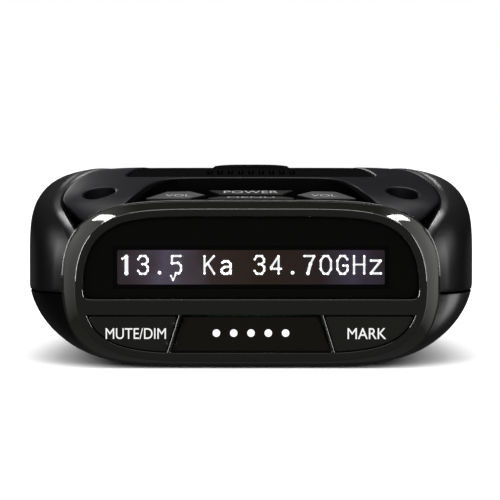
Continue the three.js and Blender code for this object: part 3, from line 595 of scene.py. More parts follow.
class DetectorSizes(bpy.types.PropertyGroup):
    """Edge radii and depths that a user would change."""

    seam_radius: length_setting("Seam radius", "Radius of the edges along the seams of the housing", 0.3)
    crest_radius: length_setting("Crest radius", "Radius of the housing's edge along the top deck", 2.0)
    groove_depth: length_setting("Groove depth", "How far the walls of the seams go down", 2.0)
    bezel_radius: length_setting("Bezel radius", "Radius of the outer edge of the display bezel", 0.22)
    key_radius: length_setting("Key radius", "Radius of the edges of the top keys", 0.16)
    legend_height: length_setting("Legend height", "Height of the capitals on the two face keys", 1.65)
    stroke: length_setting("Readout stroke", "Width of the strokes of the readout", 0.3)


class DetectorColours(bpy.types.PropertyGroup):
    """Main colours of the finishes."""

    housing: colour_setting("Housing", "Satin plastic of the two shells", (0.006, 0.006, 0.0065))
    deck: colour_setting("Deck", "Satin plastic of the top deck", (0.012, 0.0105, 0.0145))
    bezel: colour_setting("Bezel", "Plastic of the display bezel", (0.0045, 0.005, 0.003))
    keys: colour_setting("Keys", "Plastic of the key caps", (0.007, 0.0073, 0.0045))
    readout: colour_setting("Readout", "Light of the display's characters", (0.95, 0.96, 1.0))
    legend: colour_setting("Legend", "Light of the legends", (0.95, 0.95, 0.95))


def sizes():
    return bpy.context.scene.detector_sizes


def colours():
    return bpy.context.scene.detector_colours


def mm(value):
    return value / MM


def grey(value):
    return (value, value, value)


# Finish: material name, colour or the setting that holds it, tint, roughness and its spread, grain, its
# depth in
# millimetres, and specular level where it isn't 0.5.
PLASTICS = {
    "housing": ("satin_housing", "housing", (0.009, 0.009, 0.01), 0.3, 0.06, 5200, 0.0007, 0.4),
    "deck": ("satin_deck", "deck", (0.016, 0.013, 0.019), 0.38, 0.06, 4600, 0.001),
    "gloss": ("piano_gloss", grey(0.002), grey(0.003), 0.08, 0.03, 900, 0.0003, 0.4),
    "tray": ("tray_gloss", grey(0.002), grey(0.003), 0.14, 0.04, 2600, 0.0003, 0.35),
    "bezel": ("bezel_plastic", "bezel", (0.006, 0.0065, 0.0042), 0.06, 0.02, 5200, 0.0001, 0.6),
    "face_key": ("face_key_plastic", "keys", (0.009, 0.0093, 0.006), 0.4, 0.07, 5600, 0.0008, 0.4),
    "key": ("key_plastic", "keys", grey(0.013), 0.36, 0.07, 5600, 0.0008),
    "panel": ("panel_gloss", (0.005, 0.0035, 0.001), (0.006, 0.0045, 0.002), 0.12, 0.03, 1500, 0.0003, 0.35),
    "nose": ("infrared_window", (0.010, 0.0012, 0.0016), (0.014, 0.002, 0.002), 0.07, 0.03, 900, 0.0003),
    "border": ("display_border", grey(0.0006), grey(0.001), 0.5, 0.1, 3000, 0.001, 0.1),
    "mask": ("display_mask", (0.004, 0.0032, 0.0015), (0.005, 0.0042, 0.0022), 0.45, 0.08, 3000, 0.0003, 0.3),
    "nylon": ("black_nylon", grey(0.008), grey(0.013), 0.55, 0.1, 3500, 0.01),
    "silicone": ("silicone", (0.05, 0.05, 0.055), (0.07, 0.07, 0.075), 0.7, 0.1, 2500, 0.01),
    "cream": ("cream_plastic", (0.6, 0.55, 0.42), (0.66, 0.6, 0.48), 0.45, 0.1, 2500, 0.005),
    "ceramic": ("ceramic", (0.6, 0.54, 0.42), (0.66, 0.6, 0.48), 0.5, 0.1, 1800, 0.008),
    "paper": ("cone_paper", (0.012, 0.012, 0.013), grey(0.02), 0.85, 0.08, 1500, 0.02),
}
METALS = {
    "screw": ("black_steel", (0.05, 0.05, 0.055), (0.12, 0.12, 0.125), 0.4),
    "tin": ("tinned_steel", (0.42, 0.42, 0.44), (0.56, 0.56, 0.57), 0.3, (200, 2600, 200)),
    "cast": ("cast_metal", (0.42, 0.42, 0.43), (0.55, 0.55, 0.55), 0.5, (900, 900, 900)),
    "magnet": ("magnet", (0.1, 0.1, 0.105), (0.16, 0.16, 0.165), 0.5, (600, 600, 600)),
}
LIGHTS = {  # material name, colour or its setting, and strength
    "readout": ("readout_light", "readout", 1.6),
    "dot": ("indicator_light", (0.93, 0.93, 0.97), 1.2),
    "ink": ("legend_light", "legend", 0.9),
    "key_ink": ("key_legend_light", grey(0.75), 0.3),
}
MADE = {}


def finish(name):
    """The named finish, made once."""
    if name not in MADE:
        if name == "window":
            MADE[name] = smoked("smoked_window", (0.6, 0.6, 0.58))
        elif name == "display":
            MADE[name] = display_glass()
        elif name == "board":
            MADE[name] = circuit_board()
        else:
            for table, make in ((PLASTICS, moulded), (METALS, metal), (LIGHTS, lit)):
                if name in table:
                    label, colour, *rest = table[name]
                    colour = getattr(colours(), colour) if isinstance(colour, str) else colour
                    MADE[name] = make(label, colour, *rest)
    return MADE[name]


def display_glass():
    """The unlit ground of the readout: brown in the middle and violet at both ends, with faint cloudy
    patches."""
    s = Shader("display_ground")
    x = s.node("ShaderNodeSeparateXYZ", {}, {0: s.place()}, out=0)
    cloud = s.noise(110.0, 2.0)
    along = x / (2 * DISPLAY[0] * MM) + 0.5 + 0.25 * cloud - 0.125
    stops = [
        (0.0, (0.030, 0.021, 0.024)),
        (0.09, (0.062, 0.047, 0.062)),
        (0.15, (0.105, 0.088, 0.140)),
        (0.24, (0.090, 0.078, 0.105)),
        (0.33, (0.045, 0.028, 0.028)),
        (0.55, (0.031, 0.018, 0.012)),
        (0.78, (0.030, 0.019, 0.020)),
        (0.9, (0.060, 0.050, 0.085)),
        (1.0, (0.024, 0.014, 0.018)),
    ]
    painted_glow_colour = s.node("ShaderNodeValToRGB", {"stops": stops}, {0: along}, out="Color")
    # the ground's colour is also emitted: a painted glow on the unlit ground
    return s.finish(s.principled(painted_glow_colour, 0.25 + 0.1 * cloud, Emission_Color=painted_glow_colour, Emission_Strength=1.0))


def circuit_board():
    """Green solder mask with lighter tracks in a brick pattern."""
    s = Shader("circuit_board")
    sockets = {
        "Vector": s.place(), "Scale": 260.0, "Mortar Size": 0.03, "Color1": (0.006, 0.07, 0.025, 1),
        "Color2": (0.008, 0.085, 0.03, 1), "Mortar": (0.02, 0.16, 0.06, 1),
    }
    tracks = s.node("ShaderNodeTexBrick", {"offset": 0.37}, sockets, out="Color")
    return s.finish(s.principled(tracks, 0.3 + 0.2 * s.noise(3000.0, 2.0)))


# ------------------------------------------------------------------ housing
CREST_SWEEP = math.radians(42)  # how far the housing's edge along the top deck turns
SPREAD = 28.0  # millimetres of sheet per radian of direction round a section


def skin(up):
    """Lift from the plane (28 x direction angle, y) to the upper or lower half of the body, flat
    underneath."""

    def lift(p):
        x, z = on_section(sections(p[:, 1]), p[:, 0] / SPREAD, up)
        return np.stack([x, p[:, 1], np.maximum(z, 0)], 1)

    return lift


def unroll(xyz, up):
    """Inverse of skin for points on the body."""
    xyz = np.asarray(xyz, float)
    return np.stack([SPREAD * angle_at(sections(xyz[:, 1]), xyz[:, 0], xyz[:, 2], up), xyz[:, 1]], 1)


def along_y(start, stop, pitch=0.5):
    return np.linspace(start, stop, max(int(abs(stop - start) / pitch), 2))


def parting_line(z, side, up):
    y = along_y(BODY_FRONT, BODY_BACK)
    return unroll(np.stack([side * side_x(z, y), y, np.full_like(y, z)], 1), up)


def on_crown(plan):
    """Plan points put on the body's top, unrolled."""
    plan = np.asarray(plan, float)
    return unroll(np.column_stack([plan, crown_z(plan[:, 0], plan[:, 1])]), 1)


def side_hole(outline, side):
    """A (y, z) outline put on the body's side, unrolled on the upper skin."""
    y, z = np.asarray(outline, float).T
    return unroll(np.stack([side * side_x(z, y), y, z], 1), 1)


def level(a, b, y, count):
    """Points inside the stretch from a to b of an unrolled section at y."""
    return np.column_stack([np.linspace(a, b, count)[1:-1], np.full(count - 2, y)])


def sideways(line):
    """Unit normals of an open line, to its left."""
    chord = np.gradient(line, axis=0)
    chord /= np.linalg.norm(chord, axis=1)[:, None]
    return np.stack([-chord[:, 1], chord[:, 0]], 1)


def upper_shell():
    """Everything over the parting line round the deck, with the openings for the sockets and the bracket."""
    r, crest = mm(sizes().seam_radius), mm(sizes().crest_radius)
    sheet = Sheet(skin(1))
    seam = spline(both_sides(DECK_HALF), 0.4)
    seam = seam[seam[:, 1] > BODY_FRONT]
    seam = seam - crest * math.sin(CREST_SWEEP) * sideways(seam)  # the crest's arc reaches this far
    seam = on_crown(seam[seam[:, 1] > BODY_FRONT])
    right, left = (parting_line(UPPER_EDGE + PARTING_GAP, side, 1) for side in (1, -1))
    rear = level(right[-1, 0], left[-1, 0], BODY_BACK, 150)
    fronts = [level(left[0, 0], seam[-1, 0], BODY_FRONT, 60), level(seam[0, 0], right[0, 0], BODY_FRONT, 60)]
    half = TUNNEL["half"] + r
    notch = box(-half, half, TUNNEL["mouth"] - r, TUNNEL["rear"], 0.5, 0.3)
    sockets = [
        side_hole(box(y0 - r, y1 + r, z0 - r, z1 + r, corner), side)
        for (y0, y1, z0, z1), corner, side in ((POWER_SOCKET, 0.8, 1), (DATA_SOCKET, 0.7, -1))
    ]
    y, z, radius = EARPHONE
    sockets.append(side_hole(circle(y, z, radius + r), -1))
    outer = np.vstack([right, rear, left[::-1], fronts[0], seam[::-1], fronts[1]])
    sheet.fill(outer, [on_crown(notch), *sockets], 0.75)
    for line in (right, left[::-1]):
        sheet.lip(line, 0.1, 1.4, closed=False)
    sheet.lip(seam[::-1], crest, mm(sizes().groove_depth), closed=False, steps=8, sweep=CREST_SWEEP)
    for line in fronts:
        sheet.lip(line, 0.15, 0.5, closed=False)
    sheet.lip(rear, 0.3, 0.6, closed=False, down=(0, 0, 0))
    for hole in sockets:
        sheet.lip(hole, r, 1.5, hole=True)
    sheet.lip(on_crown(notch), r, 2.4, hole=True, down=(0, 0, -1))
    rim = face_outline(sections(np.array([BODY_BACK]))[:, 0])
    sheet.grid(np.stack([standing(offset(rim, d), BODY_BACK) for d in (0.0, 0.6, 4.5)]), closed=True)
    return sheet.place("upper_shell", "housing", "upper_housing", "satin_black", finish("housing"))


def lower_shell():
    """Everything below the parting line, with the recesses of the case screws."""
    sheet = Sheet(skin(-1), flip=True)
    right, left = (parting_line(LOWER_EDGE - PARTING_GAP, side, -1) for side in (1, -1))
    rear, front = (level(right[k, 0], left[k, 0], y, 160) for k, y in ((-1, BODY_BACK), (0, BODY_FRONT)))
    holes = []
    for x, y in CASE_SCREWS:
        ring = circle(x, y, 2.45)
        w, _, bottom, mid, _, _, n, m = sections(ring[:, 1])
        z = mid - (mid - bottom) * np.clip(1 - np.abs(ring[:, 0] / w) ** n, 0, 1) ** (1 / m)
        holes.append(unroll(np.column_stack([ring, z]), -1))
    sheet.fill(np.vstack([right, rear, left[::-1], front[::-1]]), holes, 0.8)
    for line in (right, left[::-1]):
        sheet.lip(line, 0.1, 1.4, closed=False)
    for hole in holes:
        sheet.lip(hole, 0.15, 4.4, hole=True, down=(0, 0, 1))
    return sheet.place("lower_shell", "housing", "lower_housing", "satin_black", finish("housing"))


def plan_sheet(inset):
    """Lift from plan (x, y) to the body's top, moved in."""
    return Sheet(lambda p: np.column_stack([p, crown_z(p[:, 0], p[:, 1], inset)]))


def inlay_outline():
    return turned(spline(both_sides(INLAY_HALF), 0.3, True))


def on_front(points):
    """Points brought back to the line where the body meets the bezel. Of a stretch on that line, its ends
    stay."""
    out = np.array(points)
    out[:, 1] = np.maximum(out[:, 1], BODY_EDGE)
    low = out[:, 1] <= BODY_EDGE
    return out[~(low & np.roll(low, 1) & np.roll(low, -1))]


def deck():
    """Top deck round the dish, with the wells of its two screws and the pocket of the inlay."""
    r = mm(sizes().seam_radius)
    sheet = plan_sheet(DECK_INSET)
    outline = np.vstack([spline(both_sides(DECK_HALF), 0.35), spline(both_sides(BOWL_RIM_HALF), 0.3)[::-1]])
    outline = resample(on_front(turned(offset(turned(outline), 0.35 + r))), 0.35, True)
    x, y, radius = WELL
    wells = [circle(side * x, y, radius + 0.35, 56) for side in (1, -1)]
    pocket = offset(inlay_outline(), -0.3 - r)
    sheet.fill(outline, wells + [pocket], 0.6)
    sheet.lip(outline, r, mm(sizes().groove_depth))
    for well in wells:
        sheet.lip(well, 0.35, 9.5, hole=True, down=(0, 0, -1), steps=7)
    sheet.lip(pocket, r, 1.6, hole=True)
    return sheet.place("deck", "housing", "top_deck", "satin_deck", finish("deck"))


def slot_loops():
    """Outlines of the speaker slots, side by side."""
    count, pitch, half, y0, y1 = (SLOTS[k] for k in ("count", "pitch", "half", "y0", "y1"))
    middles = (np.arange(count) - (count - 1) / 2) * pitch
    return [box(x - half - 0.12, x + half + 0.12, y0 - 0.12, y1 + 0.12, 0.4, 0.15) for x in middles]


def inlay():
    """Gloss inlay with the speaker slots and the opening of the release key."""
    sheet = plan_sheet(INLAY_INSET)
    outline, slots = offset(inlay_outline(), 0.25), slot_loops()
    half, y0, y1 = (RELEASE[k] for k in ("half", "y0", "y1"))
    hole = box(-half - 0.5, half + 0.5, y0 - 0.5, y1 + 0.5, 1.4)
    sheet.fill(outline, slots + [hole], 0.6)
    sheet.lip(outline, 0.22, 0.9)
    for loop in slots:
        sheet.lip(loop, 0.12, 2.2, hole=True)
    sheet.lip(hole, 0.2, 2.2, hole=True)
    return sheet.place("inlay", "housing", "gloss_inlay", "gloss_black", finish("gloss"))


def key_outline(name, grow):
    return offset(turned(rounded(TOP_KEYS[name][0], 0.35)), -grow)


def even(half, count):
    """Points spread evenly along the curve through a half outline and its mirror image."""
    curve = resample(spline(both_sides(half), 0.05), 60.0 / count)
    at, have = np.linspace(0, 1, count), np.linspace(0, 1, len(curve))
    return np.stack([np.interp(at, have, curve[:, k]) for k in (0, 1)], 1)


def tray():
    """The dish round the top keys: a wall that rises from the floor outline to the rim as t ^ 1.6, a rim
    rounded by 0.15 mm, and a flat floor."""
    floor, rim = even(BOWL_FLOOR_HALF, 240), even(BOWL_RIM_HALF, 240)
    lip, outer = rim + 0.62 * sideways(rim), rim + 0.1 * sideways(rim)
    top = lambda line: crown_z(line[:, 0], np.maximum(line[:, 1], BODY_FRONT), DECK_INSET + 0.03)
    level_z = lambda line, z: np.column_stack([line, z])
    rows = [
        level_z(floor + (lip - floor) * t, BOWL_FLOOR + (top(lip) - 0.15 - BOWL_FLOOR) * t**1.6)
        for t in np.linspace(0, 1, 26)
    ]
    rows += [
        level_z(lip + (outer - lip) * t, top(outer) - 0.15 * (1 - t) ** 2) for t in np.linspace(0, 1, 7)[1:]
    ]
    rows = np.stack([*rows, level_z(outer, top(outer) - 1.6)])
    rows[..., 1] = np.maximum(rows[..., 1], BODY_EDGE)
    sheet = Sheet(lambda p: np.column_stack([p, np.full(len(p), BOWL_FLOOR)]))
    sheet.grid(rows[::-1])
    holes = [key_outline(name, 0.45) for name in TOP_KEYS]
    sheet.fill(on_front(floor), holes, 0.7)
    for hole in holes:
        sheet.lip(hole, 0.15, 1.2, hole=True)
    return sheet.place("tray", "housing", "button_tray", "gloss_black", finish("tray"))


# ------------------------------------------------------------------ keys
def top_key(name):
    """Key cap: a flat sloping top, rounded edges and walls."""
    r = mm(sizes().key_radius)
    sheet = Sheet(key_top(name))
    outline = key_outline(name, -0.12 - r)
    sheet.fill(outline, (), 0.5)
    sheet.lip(outline, r, 2.4, down=(0, 0, -1), steps=6)
    return sheet.place(f"{name}_cap", f"{name}_key", f"{name}_button", "keycap", finish("key"))


def release_key():
    """Raised block on the crest: a crowned top 0.5 mm higher in the middle than at its ends, with rounded
    edges."""
    half, y0, y1, top = (RELEASE[k] for k in ("half", "y0", "y1", "top"))
    middle, reach = (y0 + y1) / 2, (y1 - y0) / 2
    crown = lambda x, y: top - 0.35 * (x / half) ** 4 - 0.5 * ((y - middle) / reach) ** 2
    sheet = Sheet(lambda p: np.column_stack([p, crown(p[:, 0], p[:, 1])]))
    outline = offset(turned(box(-half, half, y0, y1, 1.6)), 0.7)
    sheet.fill(outline, (), 0.5)
    sheet.lip(outline, 0.7, 2.6, down=(0, 0, -1), steps=8)
    return sheet.place("release_cap", "release", "release_button", "gloss_black", finish("gloss"))


# ------------------------------------------------------------------ face
def face_sheet(y, flip=False):
    """Lift from the face plane (x, z) to the plane at y."""
    return Sheet(lambda p: standing(p, y), flip)


def window_loop(rim):
    loop = clip(offset(face_outline(BEZEL_FRONT), WINDOW_RIM + rim), 0, -1, -(CROSSBAR_TOP + rim))
    return turned(soften(loop, 2.1))


def face_key_loop(side, rim):
    slope = (PANEL_BOTTOM_HALF - PANEL_TOP_HALF) / (CROSSBAR_BOTTOM - PANEL_BOTTOM)
    edge = PANEL_TOP_HALF + 0.35 + rim + slope * CROSSBAR_BOTTOM
    loop = clip(offset(face_outline(BEZEL_FRONT), LOWER_RIM + rim), 0, 1, CROSSBAR_BOTTOM - 0.1 - rim)
    return turned(soften(clip(loop, -side, -slope, -edge), 0.45))


def panel_loop(rim):
    top, bottom = PANEL_TOP_HALF - rim, PANEL_BOTTOM_HALF - rim
    low, high = PANEL_BOTTOM + rim, CROSSBAR_BOTTOM - rim
    return turned(rounded([(-top, high), (-bottom, low), (bottom, low), (top, high)], 0.35))


def bezel():
    """Face ring with its openings, the rounded outer edge, and the flared band behind it, which bows out by
    0.08 mm and ends in a bead."""
    r, count = mm(sizes().bezel_radius), 420
    sheet = face_sheet(FACE_Y)
    holes = [window_loop(-0.28), panel_loop(-0.08), face_key_loop(-1, -0.14), face_key_loop(1, -0.14)]
    sheet.fill(offset(face_outline(BEZEL_FRONT), r), holes, 0.6)
    for hole, radius in zip(holes, (0.3, 0.1, 0.16, 0.16)):
        sheet.lip(hole, radius, 1.6, hole=True)
    front, rear = section_points(BEZEL_FRONT, count), section_points(BEZEL_REAR, count)
    inward = offset(front, r) - front
    out = -inward / np.linalg.norm(inward, axis=1)[:, None]
    end, bead = BEZEL_REAR_Y - 0.15, 0.16
    rows = [
        standing(front + inward * (1 - math.sin(k)), FACE_Y + r * (1 - math.cos(k)))
        for k in np.linspace(0, math.pi / 2, 7)[:-1]
    ]
    for t in np.linspace(0, 1, 21):
        line = front + (rear - front) * t + out * 0.08 * math.sin(math.pi * t)
        rows.append(standing(line, FACE_Y + r + (end - FACE_Y - r) * t))
    edge = [(bead * math.sin(k), bead * (1 - math.cos(k))) for k in np.linspace(0, math.pi / 2, 6)]
    for across, depth in [*edge, (-0.1, bead + 0.05), (-1.8, bead + 0.05)]:
        rows.append(standing(rear + out * across, end + depth))
    sheet.grid(np.stack(rows), closed=True)
    return sheet.place("bezel", "housing", "bezel_frame", "bezel_plastic", finish("bezel"))


def window():
    sheet = face_sheet(PANE_Y)
    loop = window_loop(0.42)
    sheet.fill(loop, (), 1.2)
    sheet.lip(loop, 0.3, 0.7)
    return sheet.place("window", "housing", "display_window", "smoked_window", finish("window"))


def display():
    """The dark mask behind the window, the black border in its opening and the readout's ground in the
    border."""
    half, low, high = DISPLAY
    frame_loop = lambda grow: box(-half - grow, half + grow, low - grow, high + grow, 0.15, 0.3)
    mask = face_sheet(-54.6)
    mask.fill(window_loop(-0.1), [frame_loop(0.75)], 1.2)
    mask.lip(frame_loop(0.75), 0.05, 0.5, hole=True)
    mask.place("display_mask", "housing", None, "bezel_plastic", finish("mask"))
    border = face_sheet(READOUT_Y)
    border.fill(frame_loop(1.2), [frame_loop(0)], 1.2)
    border.place("display_border", "housing", None, "bezel_plastic", finish("border"))
    # the readout's ground, which glows with painted light
    ground = face_sheet(READOUT_Y + 0.08)
    ground.fill(frame_loop(0.3), (), 1.2)
    ground.lip(frame_loop(0.3), 0.05, 1.0)
    return ground.place("display_ground", "housing", "display_glass", "gloss_black", finish("display"))


# Centre lines of the readout's characters, in a box 1 wide and 1 high, with the stroke's width where it
# isn't 1.
GLYPHS = {
    "1": [([(0.1, 0.84), (0.5, 0.96)], 0.9), ([(0.52, 0.0), (0.52, 0.98)], 1.8)],
    "3": [([(0.04, 0.8), (0.25, 1), (0.75, 1), (0.96, 0.82), (0.96, 0.68), (0.72, 0.54), (0.42, 0.54)], 1),
          ([(0.72, 0.54), (0.98, 0.38), (0.98, 0.18), (0.75, 0), (0.25, 0), (0.02, 0.18)], 1)],
    ".": [([(0.47, 0.06), (0.53, 0.06)], 1.6)],
    "5": [([(0.96, 1), (0.1, 1), (0.08, 0.58), (0.7, 0.62), (0.98, 0.45), (0.98, 0.2), (0.78, 0.02),
            (0.45, 0.04)], 1)],
    "K": [([(0.02, 0), (0.02, 1)], 1), ([(0.95, 1), (0.12, 0.46)], 1), ([(0.34, 0.58), (0.98, 0)], 1)],
    "a": [([(0.12, 0.62), (0.35, 0.7), (0.7, 0.7), (0.94, 0.55), (0.94, 0.0)], 1.1),
          ([(0.94, 0.4), (0.35, 0.38), (0.08, 0.26), (0.08, 0.1), (0.3, 0), (0.62, 0), (0.94, 0.16)], 1.1)],
    "4": [([(0.76, 0), (0.76, 1), (0.02, 0.36), (0.02, 0.28), (1.02, 0.28)], 1)],
    "7": [([(0.0, 1), (1.0, 1), (0.62, 0.56)], 1), ([(0.62, 0.56), (0.36, 0)], 1.5)],
    "0": [
        ([(0.3, 1), (0.7, 1), (1, 0.74), (1, 0.26), (0.7, 0), (0.3, 0), (0, 0.26), (0, 0.74), (0.3, 1)], 1)
    ],
    "G": [([(0.98, 0.8), (0.72, 1), (0.3, 1), (0, 0.74), (0, 0.26), (0.3, 0), (0.72, 0), (1, 0.2), (1, 0.46),
            (0.55, 0.46)], 1)],
    "H": [([(0, 0), (0, 1)], 1), ([(1, 0), (1, 1)], 1), ([(0, 0.52), (1, 0.52)], 0.8)],
    "z": [([(0.0, 0.74), (1.0, 0.74), (0.0, 0.02), (1.02, 0.02)], 1.1)],
    "v": [([(-0.02, -0.1), (0.2, -0.38), (0.44, -0.06)], 0.75)],
}


def stroke_parts(line, width, y):
    """Flat strokes in the plane at y: a rectangle for each segment and a disc at each point."""
    line = np.asarray(line, float)
    parts = []
    step = np.diff(line, axis=0)
    step /= np.linalg.norm(step, axis=1)[:, None]
    side = np.stack([-step[:, 1], step[:, 0]], 1) * width / 2
    for a, b, n in zip(line[:-1], line[1:], side):
        corners = np.array([a - n, b - n, b + n, a + n])
        parts.append((standing(corners, y), [[0, 1, 2, 3]]))
    for p in line:
        parts.append((standing(circle(p[0], p[1], width / 2, 12), y), [list(range(12))]))
    return parts


def readout():
    """Sixteen equal cells. Each character is 1.54 mm wide and 2.68 mm high between its centre lines."""
    stroke, half = mm(sizes().stroke), DISPLAY[0]
    wide, high, base, cell = 1.54, 2.68, 14.12, 2 * half / 16 * 0.995
    parts = []
    for index, letter in enumerate("13.5 Ka 34.70GHz"):
        x0 = -half + 0.1 + (index + 0.5) * cell - wide / 2
        marks = GLYPHS.get(letter, []) + (GLYPHS["v"] if letter == "5" else [])
        for line, weight in marks:
            placed = [(x0 + wide * x, base + high * z) for x, z in line]
            parts += stroke_parts(placed, stroke * weight, READOUT_Y)
    return piece("readout", parts, "housing", None, finish("readout"), smooth=False)


def face_key(side, name):
    sheet = face_sheet(FACE_Y + 0.12)
    r = 0.2
    loop = face_key_loop(side, 0.14 + r)
    sheet.fill(loop, (), 0.6)
    sheet.lip(loop, r, 1.4)
    return sheet.place(f"{name}_cap", f"{name}_key", f"{name}_button", "face_key", finish("face_key"))


def indicator_panel():
    sheet = face_sheet(PANE_Y)
    loop = panel_loop(0.45)
    dots = [circle(x, z, INDICATOR_RADIUS + 0.1, 32) for x, z in INDICATORS]
    sheet.fill(loop, dots, 0.5)
    sheet.lip(loop, 0.15, 0.5)
    for dot in dots:
        sheet.lip(dot, 0.08, 0.4, hole=True)
    return sheet.place("indicator_face", "housing", "indicator_panel", "gloss_black", finish("panel"))


def light_pipes():
    """Five domed ends of the light pipe."""
    parts = []
    for x, z in INDICATORS:
        rings = [(1, -55.6), (1, -56.7), (0.9, -56.8), (0.6, -56.85), (0.02, -56.87)]
        rows = np.stack([standing(circle(x, z, q * INDICATOR_RADIUS, 32), y) for q, y in rings])
        parts += Sheet(None).grid(rows, closed=True, flip=True).parts + [(rows[-1], [list(range(32))])]
    return piece("indicator_dots", parts, "housing", "indicator_light_pipe", finish("dot"))


def nose():
    r = 0.6
    sheet = face_sheet(NOSE_Y, flip=True)
    loop = offset(face_outline(NOSE_SECTION), r)
    sheet.fill(loop, (), 1.0)
    sheet.lip(loop, r, 0.9, steps=7)
    return sheet.place("nose_glass", "housing", "nose_window", "infrared_plastic", finish("nose"))


def legend(name, text, size, centre, lift, body, material, slot):
    """Text scaled to a width and height, made a mesh, and put in place by lift, which takes plan points."""
    curve = bpy.data.curves.new(name, "FONT")
    curve.body, curve.align_x, curve.align_y = text, "CENTER", "CENTER"
    curve.size = size[1] * MM / 0.72
    curve.resolution_u = 6
    obj = show(name, curve)
    bpy.context.view_layer.update()
    mesh = bpy.data.meshes.new_from_object(obj.evaluated_get(bpy.context.evaluated_depsgraph_get()))
    bpy.data.objects.remove(obj)
    co = np.zeros(len(mesh.vertices) * 3)
    mesh.vertices.foreach_get("co", co)
    flat = co.reshape(-1, 3)[:, :2] / MM
    low, high = flat.min(0), flat.max(0)
    flat = (flat - (high + low) / 2) * np.array(size) / (high - low) + centre
    mesh.vertices.foreach_set("co", (lift(flat) * MM).ravel())
    mesh.update()
    mesh.name = name
    mesh.materials.clear()
    mesh.materials.append(material)
    made = show(name, mesh)
    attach(made, body)
    return made


# ------------------------------------------------------------------ stage
ROOM = {"base": 0.004, "front": 0.18, "above": 0.03, "below": 0.1, "strip": 0.07}  # the room's radiance
FLOOR_LIGHT = 4.4  # strength of the wide sun that only the floor receives
FLOOR_REACH = 6.0  # half the floor's side, in metres
GLOSS_TOP = ["tray", "inlay", "release_cap"]
FACE = ["bezel", "mute_dim_cap", "mark_cap", "indicator_face"]
ONLY, NOT = "INCLUDE", "EXCLUDE"
SHELL, BEZEL = ["upper_shell"], ["bezel"]
# name, way from the detector, distance, width and height in metres, radiance, whether it fades towards
# its ends,
# and the pieces it lights or leaves out
SOFT_BOXES = [
    ("top", (0, -0.05, 1), 0.9, (0.9, 0.9), 2.0, False, NOT, GLOSS_TOP),
    ("top_edges", (0, 0.15, 1), 0.9, (0.5, 0.3), 8.0, False, ONLY, FACE),
    ("crest_top", (0, 0.05, 1), 0.9, (1.6, 0.4), 14.0, True, ONLY, SHELL),
    ("left_crest", (-0.1, 0.92, 0.38), 1.0, (0.1, 0.1), 2.4, False, ONLY, SHELL),
    ("right_crest", (0.1, 0.92, 0.38), 1.0, (0.1, 0.1), 5.0, False, ONLY, SHELL),
    ("deck_back", (-0.42, 0.87, 0.26), 1.0, (0.5, 0.5), 2.2, False, ONLY, ["deck"]),
    ("volume_back", (0, 0.93, 0.33), 1.0, (1.2, 0.3), 0.8, False, ONLY, ["volume_down_cap", "volume_up_cap"]),
    ("middle_back", (0, 0.93, 0.33), 1.0, (1.2, 0.3), 0.25, False, ONLY, ["power_cap", "menu_cap"]),
    ("left_patch", (-0.374, 0.756, 0.54), 0.8, (0.11, 0.1), 9.0, False, ONLY, BEZEL),
    ("right_patch", (0.374, 0.756, 0.54), 0.8, (0.11, 0.1), 9.0, False, ONLY, BEZEL),
    ("left_band", (-0.62, 0.74, 0.3), 0.8, (1.0, 1.0), 0.5, True, ONLY, BEZEL),
    ("right_band", (0.62, 0.74, 0.2), 0.8, (1.0, 1.0), 0.7, True, ONLY, BEZEL),
    ("left_line", (-1, -0.25, 0.3), 0.8, (0.3, 0.5), 30.0, False, ONLY, FACE),
    ("right_line", (1, -0.25, 0.3), 0.8, (0.3, 0.5), 24.0, False, ONLY, BEZEL),
    ("right_key_line", (1, -0.25, 0.3), 0.8, (0.3, 0.5), 8.0, False, ONLY, ["mark_cap", "indicator_face"]),
    ("left_side", (-1, -0.15, 0.2), 0.8, (0.4, 0.4), 9.0, True, ONLY, SHELL),
    ("right_side", (1, -0.15, 0.15), 0.8, (0.4, 0.4), 11.0, True, ONLY, SHELL),
    ("right_below", (0.88, 0.3, -0.2), 0.8, (0.5, 0.4), 6.0, True, ONLY, ["lower_shell"]),
]
TARGET = Vector((0, 0, 0.015))  # what the soft boxes face
CAMERA = dict(elevation=2.8, distance=0.4, lens=192, shift=(-0.002, 0.0712), aim=(0, FACE_Y * MM, 0.012465))


# ------------------------------------------------------------------ operators
def operator(identifier, label, words, action):
    """An operator class whose execute runs action, and stops the script if it makes nothing."""

    def execute(self, context):
        if not action():
            raise RuntimeError(f"{label} made nothing")
        return {"FINISHED"}

    return type(
        "DETECTOR_OT_" + identifier,
        (bpy.types.Operator,),
        {"bl_idname": "detector." + identifier, "bl_label": label, "__doc__": words, "execute": execute},
    )


def key_top(name, rise=0.0):
    """Lift from plan to the sloping top of a key, or to a rise above it."""
    _, height, slope = TOP_KEYS[name]
    return lambda p: np.column_stack([p, height + rise + slope * (p[:, 1] - KEY_FRONT)])


def build_legends():
    high = mm(sizes().legend_height)
    for name, text, width, centre in [
        ("mute_dim", "MUTE/DIM", 9.05, (-17.3, 5.25)), ("mark", "MARK", 5.8, (17.4, 5.25)),
    ]:
        place = lambda p: standing(p, FACE_Y + 0.1)
        legend(f"{name}_legend", text, (width, high), centre, place, f"{name}_key", finish("ink"), "face_key")
    for name, text, width, centre in [
        ("volume_down", "VOL", 3.9, (-11.2, -46.9)), ("power", "POWER", 8.4, (0, -44.6)),
        ("menu", "MENU", 7.2, (0, -48.2)), ("volume_up", "VOL", 3.9, (11.2, -46.9)),
    ]:
        place = key_top(name, 0.02)
        legend(
            f"{name}_legend", text, (width, 1.6), centre, place, f"{name}_key", finish("key_ink"), "keycap"
        )
    return True


def build_keys():
    for name in TOP_KEYS:
        top_key(name)
    face_key(-1, "mute_dim")
    face_key(1, "mark")
    return release_key()


